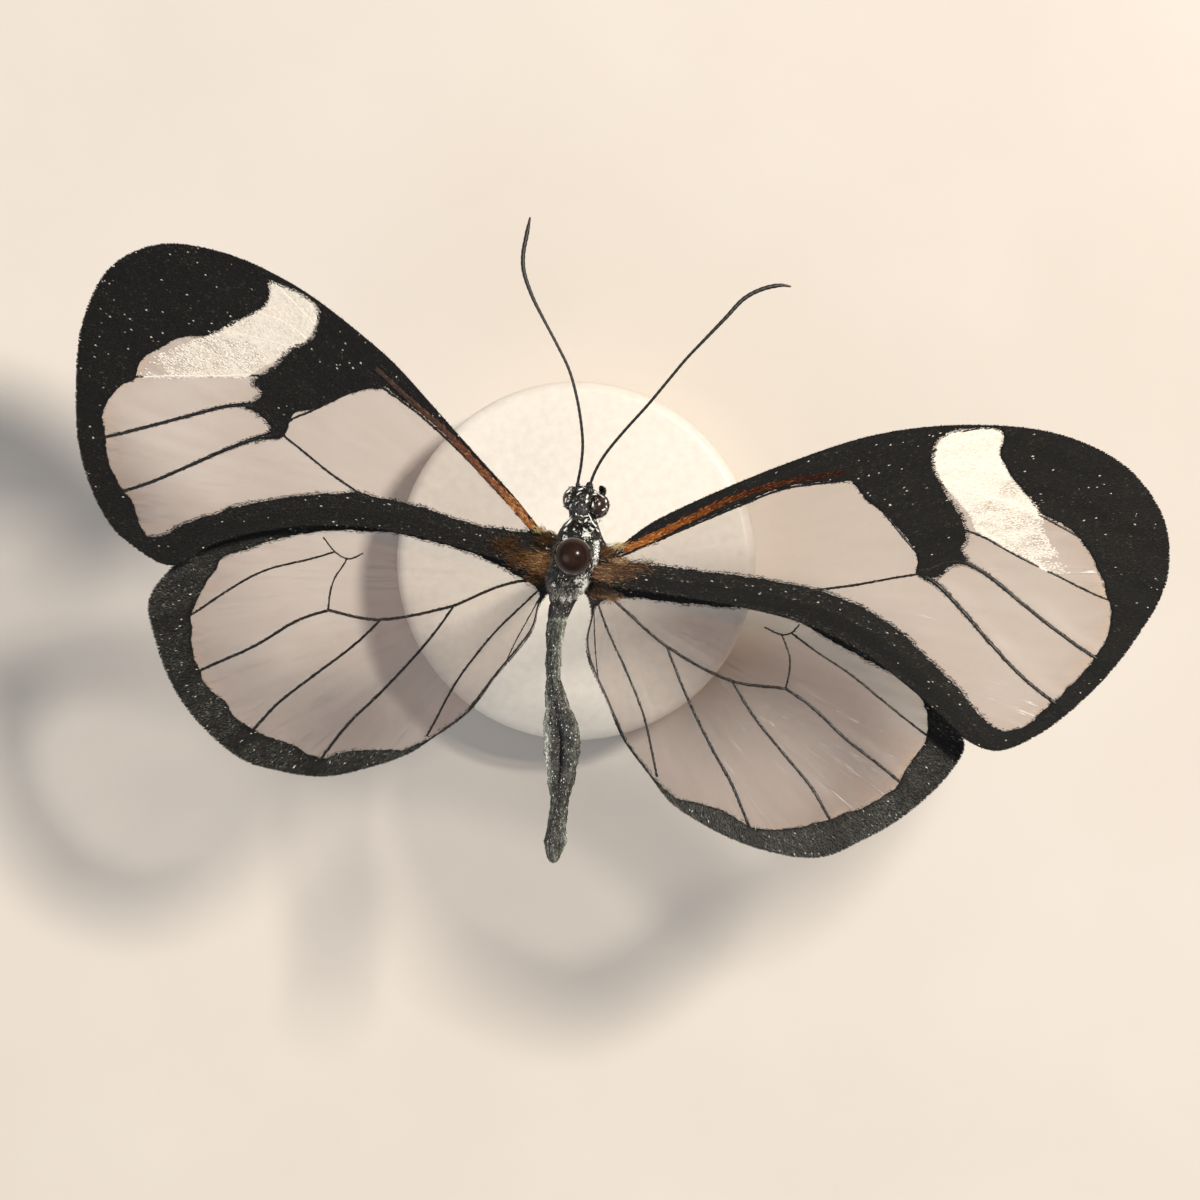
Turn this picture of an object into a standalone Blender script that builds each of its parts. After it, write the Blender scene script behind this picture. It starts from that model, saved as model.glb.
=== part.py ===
"""Glasswing butterfly, a life-size museum model of a dried specimen on its pin.

The origin is the middle of the base's underside, on the pin's axis. +Z is up and +Y is the way the
head points, so the wings spread along X. Sizes below are in millimetres; the meshes are in metres.
"""

import math

import bmesh
import bpy
import numpy as np
from mathutils import geometry

MM = 0.001
GAP = 0.3

BASE_RADIUS = 10.0
BASE_HEIGHT = 5.0
BASE_EDGE = 0.6
BASE_HOLE_RADIUS = 0.55
BASE_HOLE_DEPTH = 4.0

PIN_RADIUS = 0.25
PIN_LENGTH = 37.0
PIN_POINT_LENGTH = 0.7
PIN_POINT_RADIUS = 0.1
PIN_HOLE_RADIUS = 0.5
PIN_HOLE_REACH = 4.0
PIN_HEAD_RADIUS = 0.92

# The head leans to the left about the body's axis and is turned to the right, as on the specimen.
BODY_HEIGHT = 26.0
HEAD_CENTRE = (0.65, 2.88, 26.1)
HEAD_ROLL = math.radians(20.0)
HEAD_YAW = math.radians(-17.0)
END_ROUND = 0.45
TIP_ROUND = 0.6

WING_THICKNESS = 0.52
VEIN_RISE = 0.14
VEIN_HALF_WIDTH = 0.34
EDGE_STEP = 1.15
VEIN_STEP = 1.3
FILL_STEP = 2.1
ROW_SHARE = 0.87
CREST_TO_RIM = 0.55
FOOT_TO_RIM = 0.35
FILL_TO_REST = 0.9
FOOT_TO_OWN_CREST = 0.9
FOOT_TO_OTHER_CREST = 1.15
WING_BOW = 0.05
WING_SPAN = 29.0
FOREWING_HEIGHT = 26.6
HINDWING_HEIGHT = 25.35

# Slope of each wing along the span: the left pair droops, and the right pair lies nearly level.
WING_SLOPE = {
    "forewing_left": -14.0,
    "hindwing_left": -14.0,
    "forewing_right": 3.0,
    "hindwing_right": 0.0,
}

# Outlines and veins as the right wings lie, seen from above, x and y.
FOREWING_OUTLINE = [
    (0.7, 0.2), (2.0, 0.6), (3.9, 1.9), (6.1, 3.0), (10.9, 5.0), (15.6, 6.5), (20.3, 7.0), (25.1, 6.5),
    (28.7, 4.7), (30.6, 1.9), (30.7, -1.2), (29.2, -4.1), (27.0, -6.8), (24.1, -9.2), (21.8, -10.1),
    (20.3, -9.6), (18.9, -8.3), (17.1, -6.7), (14.8, -5.0), (11.7, -3.5), (7.7, -2.5), (4.5, -2.0),
    (2.3, -1.6), (0.7, -1.2),
]
HINDWING_OUTLINE = [
    (0.2, -0.6), (2.4, -1.2), (6.5, -1.8), (11.8, -2.8), (15.9, -4.8), (18.8, -7.1), (20.2, -9.0),
    (20.4, -9.9), (19.5, -11.4), (18.1, -12.8), (16.5, -14.0), (14.8, -14.9), (13.2, -15.6),
    (11.7, -15.7), (8.8, -15.0), (6.7, -14.0), (4.9, -12.8), (3.8, -11.4), (2.4, -9.5), (1.5, -7.4),
    (0.6, -5.4), (0.45, -4.2), (0.75, -2.9), (0.6, -2.1), (0.1, -1.5),
]
FOREWING_VEINS = [
    [(2.2, -0.1), (6.1, 1.5), (10.9, 3.5), (14.4, 4.0), (18.2, 5.4), (22.5, 5.9), (26.8, 4.4)],
    [(14.4, 4.0), (15.8, 2.6), (17.0, 1.1), (17.9, 0.0), (18.1, -0.9)],
    [(2.2, -0.7), (5.5, -1.2), (9.0, -1.5), (12.7, -1.7), (14.6, -1.4), (16.5, -1.0), (18.1, -0.9)],
    [(18.1, -0.9), (18.9, -1.5), (20.3, -3.0), (21.5, -4.4), (23.2, -6.2), (24.7, -7.4)],
    [(17.9, 0.0), (19.4, -0.2), (20.3, -0.3), (21.5, -1.0), (23.2, -2.4), (25.1, -3.9), (27.0, -5.2)],
    [(17.0, 1.1), (19.4, 1.6), (21.3, 1.0), (22.7, 0.2), (25.1, -1.0), (27.4, -2.1), (29.2, -2.6)],
    [(15.8, 2.6), (18.4, 4.0), (21.6, 3.1), (23.6, 2.4), (26.4, 0.9), (29.0, -0.4)],
    [(12.7, -1.7), (15.4, -3.5), (18.4, -6.1), (20.6, -8.4)],
]
HINDWING_VEINS = [
    [(1.5, -2.0), (4.8, -4.6), (8.2, -6.4), (11.0, -6.8), (12.3, -7.7), (14.1, -9.4), (15.9, -10.8),
     (17.6, -12.2)],
    [(11.0, -6.8), (11.2, -5.5), (10.8, -4.0)],
    [(4.2, -2.1), (7.8, -3.1), (10.8, -4.0), (12.5, -4.8), (14.3, -6.0), (16.4, -7.7), (18.9, -9.5)],
    [(8.2, -6.4), (9.3, -8.2), (10.9, -10.2), (12.3, -11.9), (13.5, -14.2)],
    [(4.8, -4.6), (5.8, -7.1), (7.2, -10.0), (8.2, -11.8), (9.1, -14.0)],
    [(1.5, -2.0), (1.7, -3.7), (2.7, -5.9), (3.6, -8.2), (4.5, -11.2)],
]

# Marks on a right wing, each with the place of the same mark on the left wing.
FOREWING_MARKS = [
    ((1.3, 0.3), (-0.6, 0.9)), ((1.3, -1.4), (-0.8, -0.7)), ((2.0, 0.6), (-1.3, 1.2)),
    ((6.1, 3.0), (-4.5, 4.9)), ((10.9, 5.0), (-7.8, 8.6)), ((15.6, 6.5), (-11.2, 11.9)),
    ((20.3, 7.0), (-14.7, 14.5)), ((25.1, 6.5), (-18.7, 16.3)), ((28.7, 4.7), (-22.2, 16.7)),
    ((30.6, 1.9), (-24.9, 15.3)), ((30.7, -1.2), (-26.3, 12.2)), ((29.2, -4.1), (-26.6, 8.5)),
    ((27.0, -6.8), (-26.1, 4.7)), ((24.1, -9.2), (-24.4, 1.3)), ((22.4, -10.1), (-22.4, -0.2)),
    ((18.9, -8.3), (-19.3, 0.5)), ((14.8, -5.0), (-14.6, 1.5)), ((7.7, -2.5), (-7.3, 0.8)),
    ((14.1, 4.0), (-10.3, 9.0)), ((12.8, -1.6), (-11.5, 3.6)), ((18.2, -1.0), (-15.7, 6.5)),
    ((24.7, -7.3), (-24.2, 3.6)), ((27.0, -5.1), (-25.2, 6.5)), ((27.5, -2.2), (-23.6, 9.6)),
]
HINDWING_MARKS = [
    ((1.2, -0.7), (-1.3, -0.4)), ((0.9, -2.2), (-1.5, -1.7)), ((0.6, -5.4), (-2.7, -4.7)),
    ((2.4, -9.5), (-5.4, -8.1)), ((4.9, -12.8), (-8.8, -10.4)), ((8.8, -15.0), (-13.3, -11.6)),
    ((11.7, -15.7), (-16.0, -11.2)), ((13.2, -15.6), (-17.4, -10.8)), ((14.8, -14.9), (-18.8, -9.9)),
    ((16.5, -14.0), (-20.1, -8.6)), ((18.1, -12.8), (-21.3, -7.0)), ((19.5, -11.4), (-22.2, -4.9)),
    ((20.4, -9.9), (-22.7, -2.8)), ((20.2, -9.0), (-22.6, -1.7)), ((18.8, -7.1), (-21.2, -0.1)),
    ((15.9, -4.8), (-18.2, 1.5)), ((11.8, -2.8), (-13.6, 2.2)), ((6.5, -1.8), (-8.0, 1.9)),
    ((4.8, -4.6), (-6.3, -2.5)), ((8.2, -6.4), (-10.2, -3.2)), ((11.0, -6.8), (-13.0, -2.7)),
    ((10.8, -4.0), (-11.9, -0.1)), ((18.3, -9.2), (-20.3, -3.0)), ((16.8, -11.6), (-20.0, -6.0)),
    ((13.3, -13.5), (-17.0, -9.0)), ((8.8, -13.8), (-13.1, -10.5)), ((4.3, -11.6), (-7.8, -9.5)),
]

# Body sections: y, middle x, middle z above or below the body's height, half width, half height.
THORAX_SECTIONS = [
    (2.05, 0.38, 0.05, 0.60, 0.64), (1.8, 0.35, 0.06, 0.92, 0.98), (1.45, 0.28, 0.05, 1.12, 1.22),
    (1.05, 0.26, 0.02, 1.28, 1.44), (0.6, 0.24, 0.0, 1.43, 1.62), (0.1, 0.17, 0.0, 1.47, 1.72),
    (-0.45, -0.04, 0.0, 1.42, 1.72), (-0.95, -0.24, -0.02, 1.30, 1.56), (-1.4, -0.36, -0.04, 1.13, 1.33),
    (-1.85, -0.47, -0.06, 0.96, 1.08), (-2.15, -0.56, -0.08, 0.84, 0.92), (-2.4, -0.63, -0.1, 0.5, 0.6),
]
ABDOMEN_SECTIONS = [
    (-1.7, -0.6, -0.1, 0.62, 0.70), (-2.5, -0.73, -0.1, 0.73, 0.75), (-3.6, -0.98, -0.15, 0.52, 0.62),
    (-4.8, -1.08, -0.22, 0.41, 0.60), (-6.2, -1.11, -0.30, 0.40, 0.62), (-7.5, -0.91, -0.36, 0.62, 0.70),
    (-8.5, -0.71, -0.42, 0.87, 0.74), (-9.6, -0.61, -0.48, 0.97, 0.72), (-10.7, -0.65, -0.54, 0.86, 0.68),
    (-11.7, -0.69, -0.60, 0.70, 0.62), (-12.9, -0.81, -0.66, 0.52, 0.54), (-14.1, -0.95, -0.72, 0.56, 0.50),
    (-14.8, -1.0, -0.76, 0.60, 0.48), (-15.4, -1.08, -0.80, 0.46, 0.40), (-15.85, -1.1, -0.82, 0.26, 0.26),
]
HEAD_SECTIONS = [
    (3.54, 0.40, 0.06, 0.58, 0.58), (3.4, 0.42, 0.08, 0.82, 0.78), (3.15, 0.47, 0.10, 0.96, 0.93),
    (2.8, 0.52, 0.10, 0.99, 0.97), (2.45, 0.53, 0.10, 0.92, 0.90), (2.15, 0.49, 0.10, 0.82, 0.82),
    (1.85, 0.44, 0.10, 0.6, 0.6),
]
EYE_OFFSET = (0.80, 0.0, 0.24)
EYE_RADII = (0.46, 0.56, 0.60)
SOCKET_GAP = 0.21

# Feelers: places along each one, then its radius at the root, in the shaft, in the club and at the tip.
ANTENNA_LEFT = [
    (0.12, 3.3, 26.45), (0.14, 3.8, 26.65), (0.34, 4.8, 27.0), (0.43, 5.9, 27.3), (0.29, 7.4, 27.6),
    (0.02, 8.75, 27.8), (-0.30, 9.8, 27.9), (-0.88, 11.0, 28.0), (-1.62, 12.4, 28.0), (-2.21, 13.6, 27.9),
    (-2.63, 14.9, 27.8), (-2.65, 15.75, 27.7), (-2.48, 16.7, 27.6), (-2.28, 17.7, 27.4),
]
ANTENNA_RIGHT = [
    (0.92, 3.3, 26.50), (0.95, 3.8, 26.70), (1.10, 4.5, 27.0), (1.56, 5.35, 27.3), (2.52, 6.5, 27.6),
    (3.79, 7.9, 27.9), (4.96, 9.3, 28.1), (5.8, 10.3, 28.2), (6.76, 11.3, 28.3), (7.82, 12.4, 28.3),
    (8.78, 13.4, 28.2), (9.73, 13.9, 28.1), (10.69, 14.1, 28.0), (11.27, 14.03, 27.9),
]
ANTENNA_RADII = (0.25, 0.25, 0.31, 0.20)

# Legs folded under the thorax on either side of the pin, from the hip to the claw: places to the right
# of each pair's middle, which is given first.
LEG_PATHS = {
    "leg_fore": (0.30, [(0.56, 1.0, -0.9), (0.60, 1.6, -1.6), (0.58, 1.85, -2.05), (0.56, 1.1, -2.5)]),
    "leg_mid": (0.12, [(0.85, 0.4, -1.0), (1.10, 0.8, -2.1), (1.12, 1.15, -2.7), (1.12, 0.0, -3.3),
                       (1.05, -1.0, -3.2)]),
    "leg_hind": (0.0, [(0.80, -0.9, -0.9), (0.92, -1.3, -2.2), (0.92, -1.5, -3.1), (0.88, -0.3, -4.3),
                       (0.80, 1.0, -4.8)]),
}
LEG_RADII = (0.30, 0.28, 0.26, 0.20)
PALP_PATH = [(0.42, 0.50, -0.75), (0.43, 0.86, -0.70), (0.42, 1.04, -0.40)]
PALP_RADII = (0.25, 0.25, 0.24, 0.18)
COIL_CENTRE = (0.35, 0.20, -1.95)
COIL_RADIUS = 0.40
COIL_TURN = math.radians(295.0)
COIL_RADII = (0.26, 0.25, 0.24, 0.20)


def material(name, colour, roughness, metallic=0.0):
    """A plain material; the colour is sRGB, 0 to 1."""
    made = bpy.data.materials.new(name)
    made.use_nodes = True
    shader = made.node_tree.nodes["Principled BSDF"]
    linear = [((c + 0.055) / 1.055) ** 2.4 if c > 0.04 else c / 12.92 for c in colour]
    shader.inputs["Base Color"].default_value = (*linear, 1.0)
    shader.inputs["Roughness"].default_value = roughness
    shader.inputs["Metallic"].default_value = metallic
    return made


def add_object(name, vertices, faces, look=None):
    """A mesh object from points in millimetres."""
    mesh = bpy.data.meshes.new(name)
    mesh.from_pydata([tuple(float(c) * MM for c in v) for v in vertices], [], faces)
    bm = bmesh.new()
    bm.from_mesh(mesh)
    bmesh.ops.recalc_face_normals(bm, faces=bm.faces)
    bm.to_mesh(mesh)
    bm.free()
    made = bpy.data.objects.new(name, mesh)
    bpy.context.scene.collection.objects.link(made)
    if look:
        mesh.materials.append(look)
    return made


def smooth_curve(points, step, closed=False):
    """Centripetal Catmull-Rom curve through the points, read again at even steps along it."""
    p = np.array(points, float)
    if closed:
        p = np.vstack([p[-1:], p, p[:2]])
    else:
        p = np.vstack([2 * p[0] - p[1], p, 2 * p[-1] - p[-2]])
    fine = []
    for i in range(1, len(p) - 2):
        quad = p[i - 1:i + 3]
        t = np.concatenate([[0.0], np.cumsum(np.sqrt(np.linalg.norm(np.diff(quad, axis=0), axis=1)))])
        at = np.linspace(t[1], t[2], 16, endpoint=False)[:, None]
        a = [((t[k + 1] - at) * quad[k] + (at - t[k]) * quad[k + 1]) / (t[k + 1] - t[k]) for k in range(3)]
        b = [((t[k + 2] - at) * a[k] + (at - t[k]) * a[k + 1]) / (t[k + 2] - t[k]) for k in range(2)]
        fine.append(((t[2] - at) * b[0] + (at - t[1]) * b[1]) / (t[2] - t[1]))
    fine = np.vstack(fine + [p[-2:-1]])
    length = np.concatenate([[0.0], np.cumsum(np.linalg.norm(np.diff(fine, axis=0), axis=1))])
    count = max(2, round(length[-1] / step))
    even = np.linspace(0.0, length[-1], count + 1)
    curve = np.stack([np.interp(even, length, fine[:, k]) for k in range(fine.shape[1])], axis=1)
    return curve[:-1] if closed else curve


def plate_bend(distance):
    """r^2 log r, the shape of a thin plate bent at one point."""
    return np.where(distance > 0, distance ** 2 * np.log(np.maximum(distance, 1e-9)), 0.0)


def carry(points, marks, stiffness=1.0):
    """Points of a right wing carried to the left wing by a thin-plate bend through the marks."""
    source = np.array([m[0] for m in marks], float)
    target = np.array([m[1] for m in marks], float)
    count = len(source)
    spread = np.linalg.norm(source[:, None] - source[None], axis=2)
    kernel = plate_bend(spread) + stiffness * np.eye(count)
    plane = np.column_stack([np.ones(count), source])
    system = np.block([[kernel, plane], [plane.T, np.zeros((3, 3))]])
    weights = np.linalg.solve(system, np.vstack([target, np.zeros((3, 2))]))
    points = np.array(points, float)
    reach = plate_bend(np.linalg.norm(points[:, None] - source[None], axis=2))
    return np.column_stack([reach, np.ones(len(points)), points]) @ weights


def largest_surface(obj):
    """Keep only the largest closed surface of a mesh."""
    bm = bmesh.new()
    bm.from_mesh(obj.data)
    left = set(bm.faces)
    groups = []
    while left:
        group, edge = set(), [left.pop()]
        while edge:
            face = edge.pop()
            group.add(face)
            near = {n for e in face.edges for n in e.link_faces if n in left}
            left -= near
            edge.extend(near)
        groups.append(group)
    best = max(groups, key=lambda g: sum(f.calc_area() for f in g))
    bmesh.ops.delete(bm, geom=[f for g in groups if g is not best for f in g], context="FACES")
    bmesh.ops.triangulate(bm, faces=bm.faces[:])
    bm.to_mesh(obj.data)
    bm.free()


def cut(obj, cutter):
    """Take the cutter's shape out of an object and remove the cutter."""
    cutter.hide_render = True
    cutter.display_type = "WIRE"
    step = obj.modifiers.new("cut", "BOOLEAN")
    step.operation = "DIFFERENCE"
    step.solver = "EXACT"
    step.object = cutter
    bpy.context.view_layer.update()
    graph = bpy.context.evaluated_depsgraph_get()
    mesh = bpy.data.meshes.new_from_object(obj.evaluated_get(graph))
    obj.modifiers.remove(step)
    obj.data = mesh
    bpy.data.objects.remove(cutter)
    largest_surface(obj)


def turned(name, profile, segments, look):
    """A body turned about the pin's axis from a profile of (radius, z); open ends get flat caps."""
    vertices, rings = [], []
    for radius, z in profile:
        count = 1 if radius == 0 else segments
        rings.append(list(range(len(vertices), len(vertices) + count)))
        for k in range(count):
            angle = 2 * math.pi * k / segments
            vertices.append((radius * math.cos(angle), radius * math.sin(angle), z))
    caps = [tuple(ring) for ring in (rings[0], rings[-1]) if len(ring) > 1]
    return add_object(name, vertices, ring_faces(rings) + caps, look)


def ring_faces(rings):
    """Faces between rings in turn; a ring of one point closes the body."""
    faces = []
    for low, high in zip(rings, rings[1:]):
        count = max(len(low), len(high))
        for k in range(count):
            n = (k + 1) % count
            a, b = low[k % len(low)], low[n % len(low)]
            c, d = high[n % len(high)], high[k % len(high)]
            faces.append(tuple(dict.fromkeys((a, b, c, d))))
    return faces


def loft(name, sections, segments, step, look=None, grow=0.0, height=BODY_HEIGHT):
    """A rounded body through elliptic sections along Y, from the front section to the rear one."""
    table = smooth_curve(sections, step)
    ends = (table[0, 0] + END_ROUND * table[0, 3] + grow, table[-1, 0] - END_ROUND * table[-1, 3] - grow)
    vertices = [(table[0, 1], ends[0], height + table[0, 2])]
    rings = [[0]]
    for y, x, z, half_width, half_height in table:
        rings.append(list(range(len(vertices), len(vertices) + segments)))
        for k in range(segments):
            angle = 2 * math.pi * k / segments
            vertices.append((x + (half_width + grow) * math.cos(angle), y,
                             height + z + (half_height + grow) * math.sin(angle)))
    rings.append([len(vertices)])
    vertices.append((table[-1, 1], ends[1], height + table[-1, 2]))
    return add_object(name, vertices, ring_faces(rings), look)


def tube(name, path, radii, step, segments, look=None, grow=0.0):
    """A round, tapered tube along a smooth path. radii are at the root, one and two thirds, the tip."""
    line = smooth_curve(path, step)
    share = np.linspace(0.0, 1.0, len(line))
    radius = np.interp(share, np.linspace(0.0, 1.0, len(radii)), radii) + grow
    along = np.gradient(line, axis=0)
    along /= np.linalg.norm(along, axis=1)[:, None]
    side = np.cross(along[0], (0.31, 0.17, 0.94))
    vertices = [tuple(line[0] - along[0] * radius[0] * TIP_ROUND)]
    rings = [[0]]
    for centre, ahead, r in zip(line, along, radius):
        side = side - ahead * np.dot(side, ahead)
        side /= np.linalg.norm(side)
        up = np.cross(ahead, side)
        rings.append(list(range(len(vertices), len(vertices) + segments)))
        for k in range(segments):
            angle = 2 * math.pi * k / segments
            vertices.append(tuple(centre + r * (math.cos(angle) * side + math.sin(angle) * up)))
    rings.append([len(vertices)])
    vertices.append(tuple(line[-1] + along[-1] * radius[-1] * TIP_ROUND))
    return add_object(name, vertices, ring_faces(rings), look)


def ellipsoid(name, offset, radii, segments, rings_count, look=None, grow=0.0):
    """A closed ellipsoid on the head, with its poles to the front and rear."""
    local = [(0.0, radii[1] + grow, 0.0)]
    rings = [[0]]
    for j in range(1, rings_count):
        lat = math.pi * j / rings_count
        rings.append(list(range(len(local), len(local) + segments)))
        for k in range(segments):
            angle = 2 * math.pi * k / segments
            local.append(((radii[0] + grow) * math.sin(lat) * math.cos(angle),
                          (radii[1] + grow) * math.cos(lat),
                          (radii[2] + grow) * math.sin(lat) * math.sin(angle)))
    rings.append([len(local)])
    local.append((0.0, -radii[1] - grow, 0.0))
    vertices = [on_head([a + b for a, b in zip(offset, place)]) for place in local]
    return add_object(name, vertices, ring_faces(rings), look)


def on_head(place):
    """A place given from the head's centre as right, ahead and up, after the head's roll and turn."""
    right, ahead, up = place
    x = right * math.cos(HEAD_ROLL) - up * math.sin(HEAD_ROLL)
    return (HEAD_CENTRE[0] + x * math.cos(HEAD_YAW) - ahead * math.sin(HEAD_YAW),
            HEAD_CENTRE[1] + ahead * math.cos(HEAD_YAW) + x * math.sin(HEAD_YAW),
            HEAD_CENTRE[2] + up * math.cos(HEAD_ROLL) + right * math.sin(HEAD_ROLL))


def near_line(points, line):
    """Distance in the plane from each point to the nearest stretch of a line."""
    start, end = line[:-1], line[1:]
    run = end - start
    share = np.einsum("pld,ld->pl", points[:, None] - start[None], run) / (run ** 2).sum(axis=1)
    foot = start[None] + np.clip(share, 0, 1)[..., None] * run[None]
    return np.linalg.norm(points[:, None] - foot, axis=2).min(axis=1)


def inside(points, outline):
    """Which points lie inside a closed outline, by counting crossings."""
    following = np.roll(outline, -1, axis=0)
    x, y = points[:, 0][:, None], points[:, 1][:, None]
    crosses = (outline[:, 1] > y) != (following[:, 1] > y)
    rise = following[:, 1] - outline[:, 1]
    rise = np.where(rise == 0, 1e-12, rise)
    at = outline[:, 0] + (y - outline[:, 1]) / rise * (following[:, 0] - outline[:, 0])
    return (crosses & (x < at)).sum(axis=1) % 2 == 1


def wing_plan(outline, veins):
    """Triangles of a wing seen from above, with each vein's crest as edges and its feet as points."""
    rim = np.vstack([outline, outline[:1]])
    crests = []
    for vein in veins:
        keep = inside(vein, outline) & (near_line(vein, rim) > CREST_TO_RIM)
        crests.append(vein[keep])
    points = [outline]
    edges = [(k, (k + 1) % len(outline)) for k in range(len(outline))]
    total = len(outline)
    for crest in crests:
        points.append(crest)
        edges += [(total + k, total + k + 1) for k in range(len(crest) - 1)]
        total += len(crest)
    for number, crest in enumerate(crests):
        along = np.gradient(crest, axis=0)
        across = np.column_stack([-along[:, 1], along[:, 0]]) / np.linalg.norm(along, axis=1)[:, None]
        for side in (-1, 1):
            feet = crest + side * VEIN_HALF_WIDTH * across
            clear = inside(feet, outline) & (near_line(feet, rim) > FOOT_TO_RIM)
            for other, line in enumerate(crests):
                limit = FOOT_TO_OWN_CREST if other == number else FOOT_TO_OTHER_CREST
                clear &= near_line(feet, line) > limit * VEIN_HALF_WIDTH
            points.append(feet[clear])
    low, high = outline.min(axis=0), outline.max(axis=0)
    rows = np.arange(low[1], high[1], FILL_STEP * ROW_SHARE)
    grid = np.array([(x + (n % 2) * FILL_STEP / 2, y) for n, y in enumerate(rows)
                     for x in np.arange(low[0], high[0], FILL_STEP)])
    taken = np.vstack(points)
    free = inside(grid, outline) & (near_line(grid, rim) > FILL_TO_REST)
    free &= np.linalg.norm(grid[:, None] - taken[None], axis=2).min(axis=1) > FILL_TO_REST
    points.append(grid[free])
    made = geometry.delaunay_2d_cdt([tuple(p) for p in np.vstack(points)], edges, [], 1, 0.01)
    plan = np.array([tuple(v) for v in made[0]])
    return plan, [tuple(f) for f in made[2]], crests


def wing(name, outline, veins, height, look):
    """A wing of even thickness with its veins raised in both faces, split alike above and below."""
    plan, triangles, crests = wing_plan(outline, veins)
    out = np.abs(plan[:, 0])
    slope = math.tan(math.radians(WING_SLOPE[name]))
    middle = height + slope * out + WING_BOW * out * (1 - out / WING_SPAN)
    away = np.min([near_line(plan, crest) for crest in crests], axis=0)
    half = WING_THICKNESS / 2 + VEIN_RISE * np.clip(1 - away / VEIN_HALF_WIDTH, 0, 1)
    count = len(plan)
    vertices = np.vstack([np.column_stack([plan, middle + half]), np.column_stack([plan, middle - half])])
    faces = []
    sides = {}
    for a, b, c in triangles:
        cross = np.cross(np.append(plan[b] - plan[a], 0), np.append(plan[c] - plan[a], 0))[2]
        if cross < 0:
            b, c = c, b
        faces += [(a, b, c), (count + a, count + c, count + b)]
        for edge in ((a, b), (b, c), (c, a)):
            sides[edge] = sides.get(edge, 0) + 1
    for a, b in sides:
        if (b, a) not in sides:
            faces += [(count + a, count + b, b), (count + a, b, a)]
    return add_object(name, vertices, faces, look)


def build_stand(looks):
    """The base with its blind hole, the pin and the bead on the pin."""
    inner = BASE_RADIUS - BASE_EDGE
    floor = BASE_HEIGHT - BASE_HOLE_DEPTH
    turned("stand_base", [
        (inner, 0), (BASE_RADIUS, BASE_EDGE), (BASE_RADIUS, BASE_HEIGHT - BASE_EDGE),
        (inner, BASE_HEIGHT), (BASE_HOLE_RADIUS, BASE_HEIGHT), (BASE_HOLE_RADIUS, floor),
    ], 48, looks["stand"])
    low = floor + GAP
    high = low + PIN_LENGTH
    turned("pin_shaft", [(PIN_POINT_RADIUS, low), (PIN_RADIUS, low + PIN_POINT_LENGTH), (PIN_RADIUS, high)],
           12, looks["pin"])
    middle = high + GAP + PIN_HEAD_RADIUS
    arc = [math.pi * k / 12 for k in range(13)]
    turned("pin_head", [(0 if k in (0, 12) else PIN_HEAD_RADIUS * math.sin(a),
                         middle - PIN_HEAD_RADIUS * math.cos(a)) for k, a in enumerate(arc)],
           20, looks["bead"])


def build_body(looks):
    """Thorax, abdomen and head, each cut clear of what it grows from."""
    thorax = loft("thorax", THORAX_SECTIONS, 22, 0.40, looks["body"])
    hole = [(PIN_HOLE_RADIUS, BODY_HEIGHT - PIN_HOLE_REACH), (PIN_HOLE_RADIUS, BODY_HEIGHT + PIN_HOLE_REACH)]
    cut(thorax, turned("pin_hole", hole, 12, None))
    abdomen = loft("abdomen", ABDOMEN_SECTIONS, 16, 0.75, looks["body"])
    cut(abdomen, grown_thorax())
    head = loft("head", HEAD_SECTIONS, 20, 0.30, looks["body"])
    cut(head, grown_thorax())
    for side, sign in (("left", -1), ("right", 1)):
        place = (sign * EYE_OFFSET[0], EYE_OFFSET[1], EYE_OFFSET[2])
        ellipsoid("eye_" + side, place, EYE_RADII, 16, 10, looks["eye"])
        cut(head, ellipsoid("socket", place, EYE_RADII, 16, 10, grow=SOCKET_GAP))


def grown_thorax():
    """The thorax's shape, larger by the gap that parts keep."""
    return loft("thorax_cutter", THORAX_SECTIONS, 22, 0.40, grow=GAP)


def grown_head():
    """The head's shape, larger by the gap that parts keep."""
    return loft("head_cutter", HEAD_SECTIONS, 20, 0.30, grow=GAP)


def build_wings(looks):
    """The four wings. The left pair is the right pair's shape carried to its own marks."""
    shapes = {
        "forewing": (FOREWING_OUTLINE, FOREWING_VEINS, FOREWING_MARKS, FOREWING_HEIGHT),
        "hindwing": (HINDWING_OUTLINE, HINDWING_VEINS, HINDWING_MARKS, HINDWING_HEIGHT),
    }
    for kind, (outline, veins, marks, height) in shapes.items():
        rim = smooth_curve(outline, EDGE_STEP, closed=True)
        lines = [smooth_curve(vein, VEIN_STEP) for vein in veins]
        for side in ("right", "left"):
            name = kind + "_" + side
            if side == "left":
                rim = carry(rim, marks)
                lines = [carry(line, marks) for line in lines]
            made = wing(name, rim, lines, height, looks["wing"])
            cut(made, grown_thorax())


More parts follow.
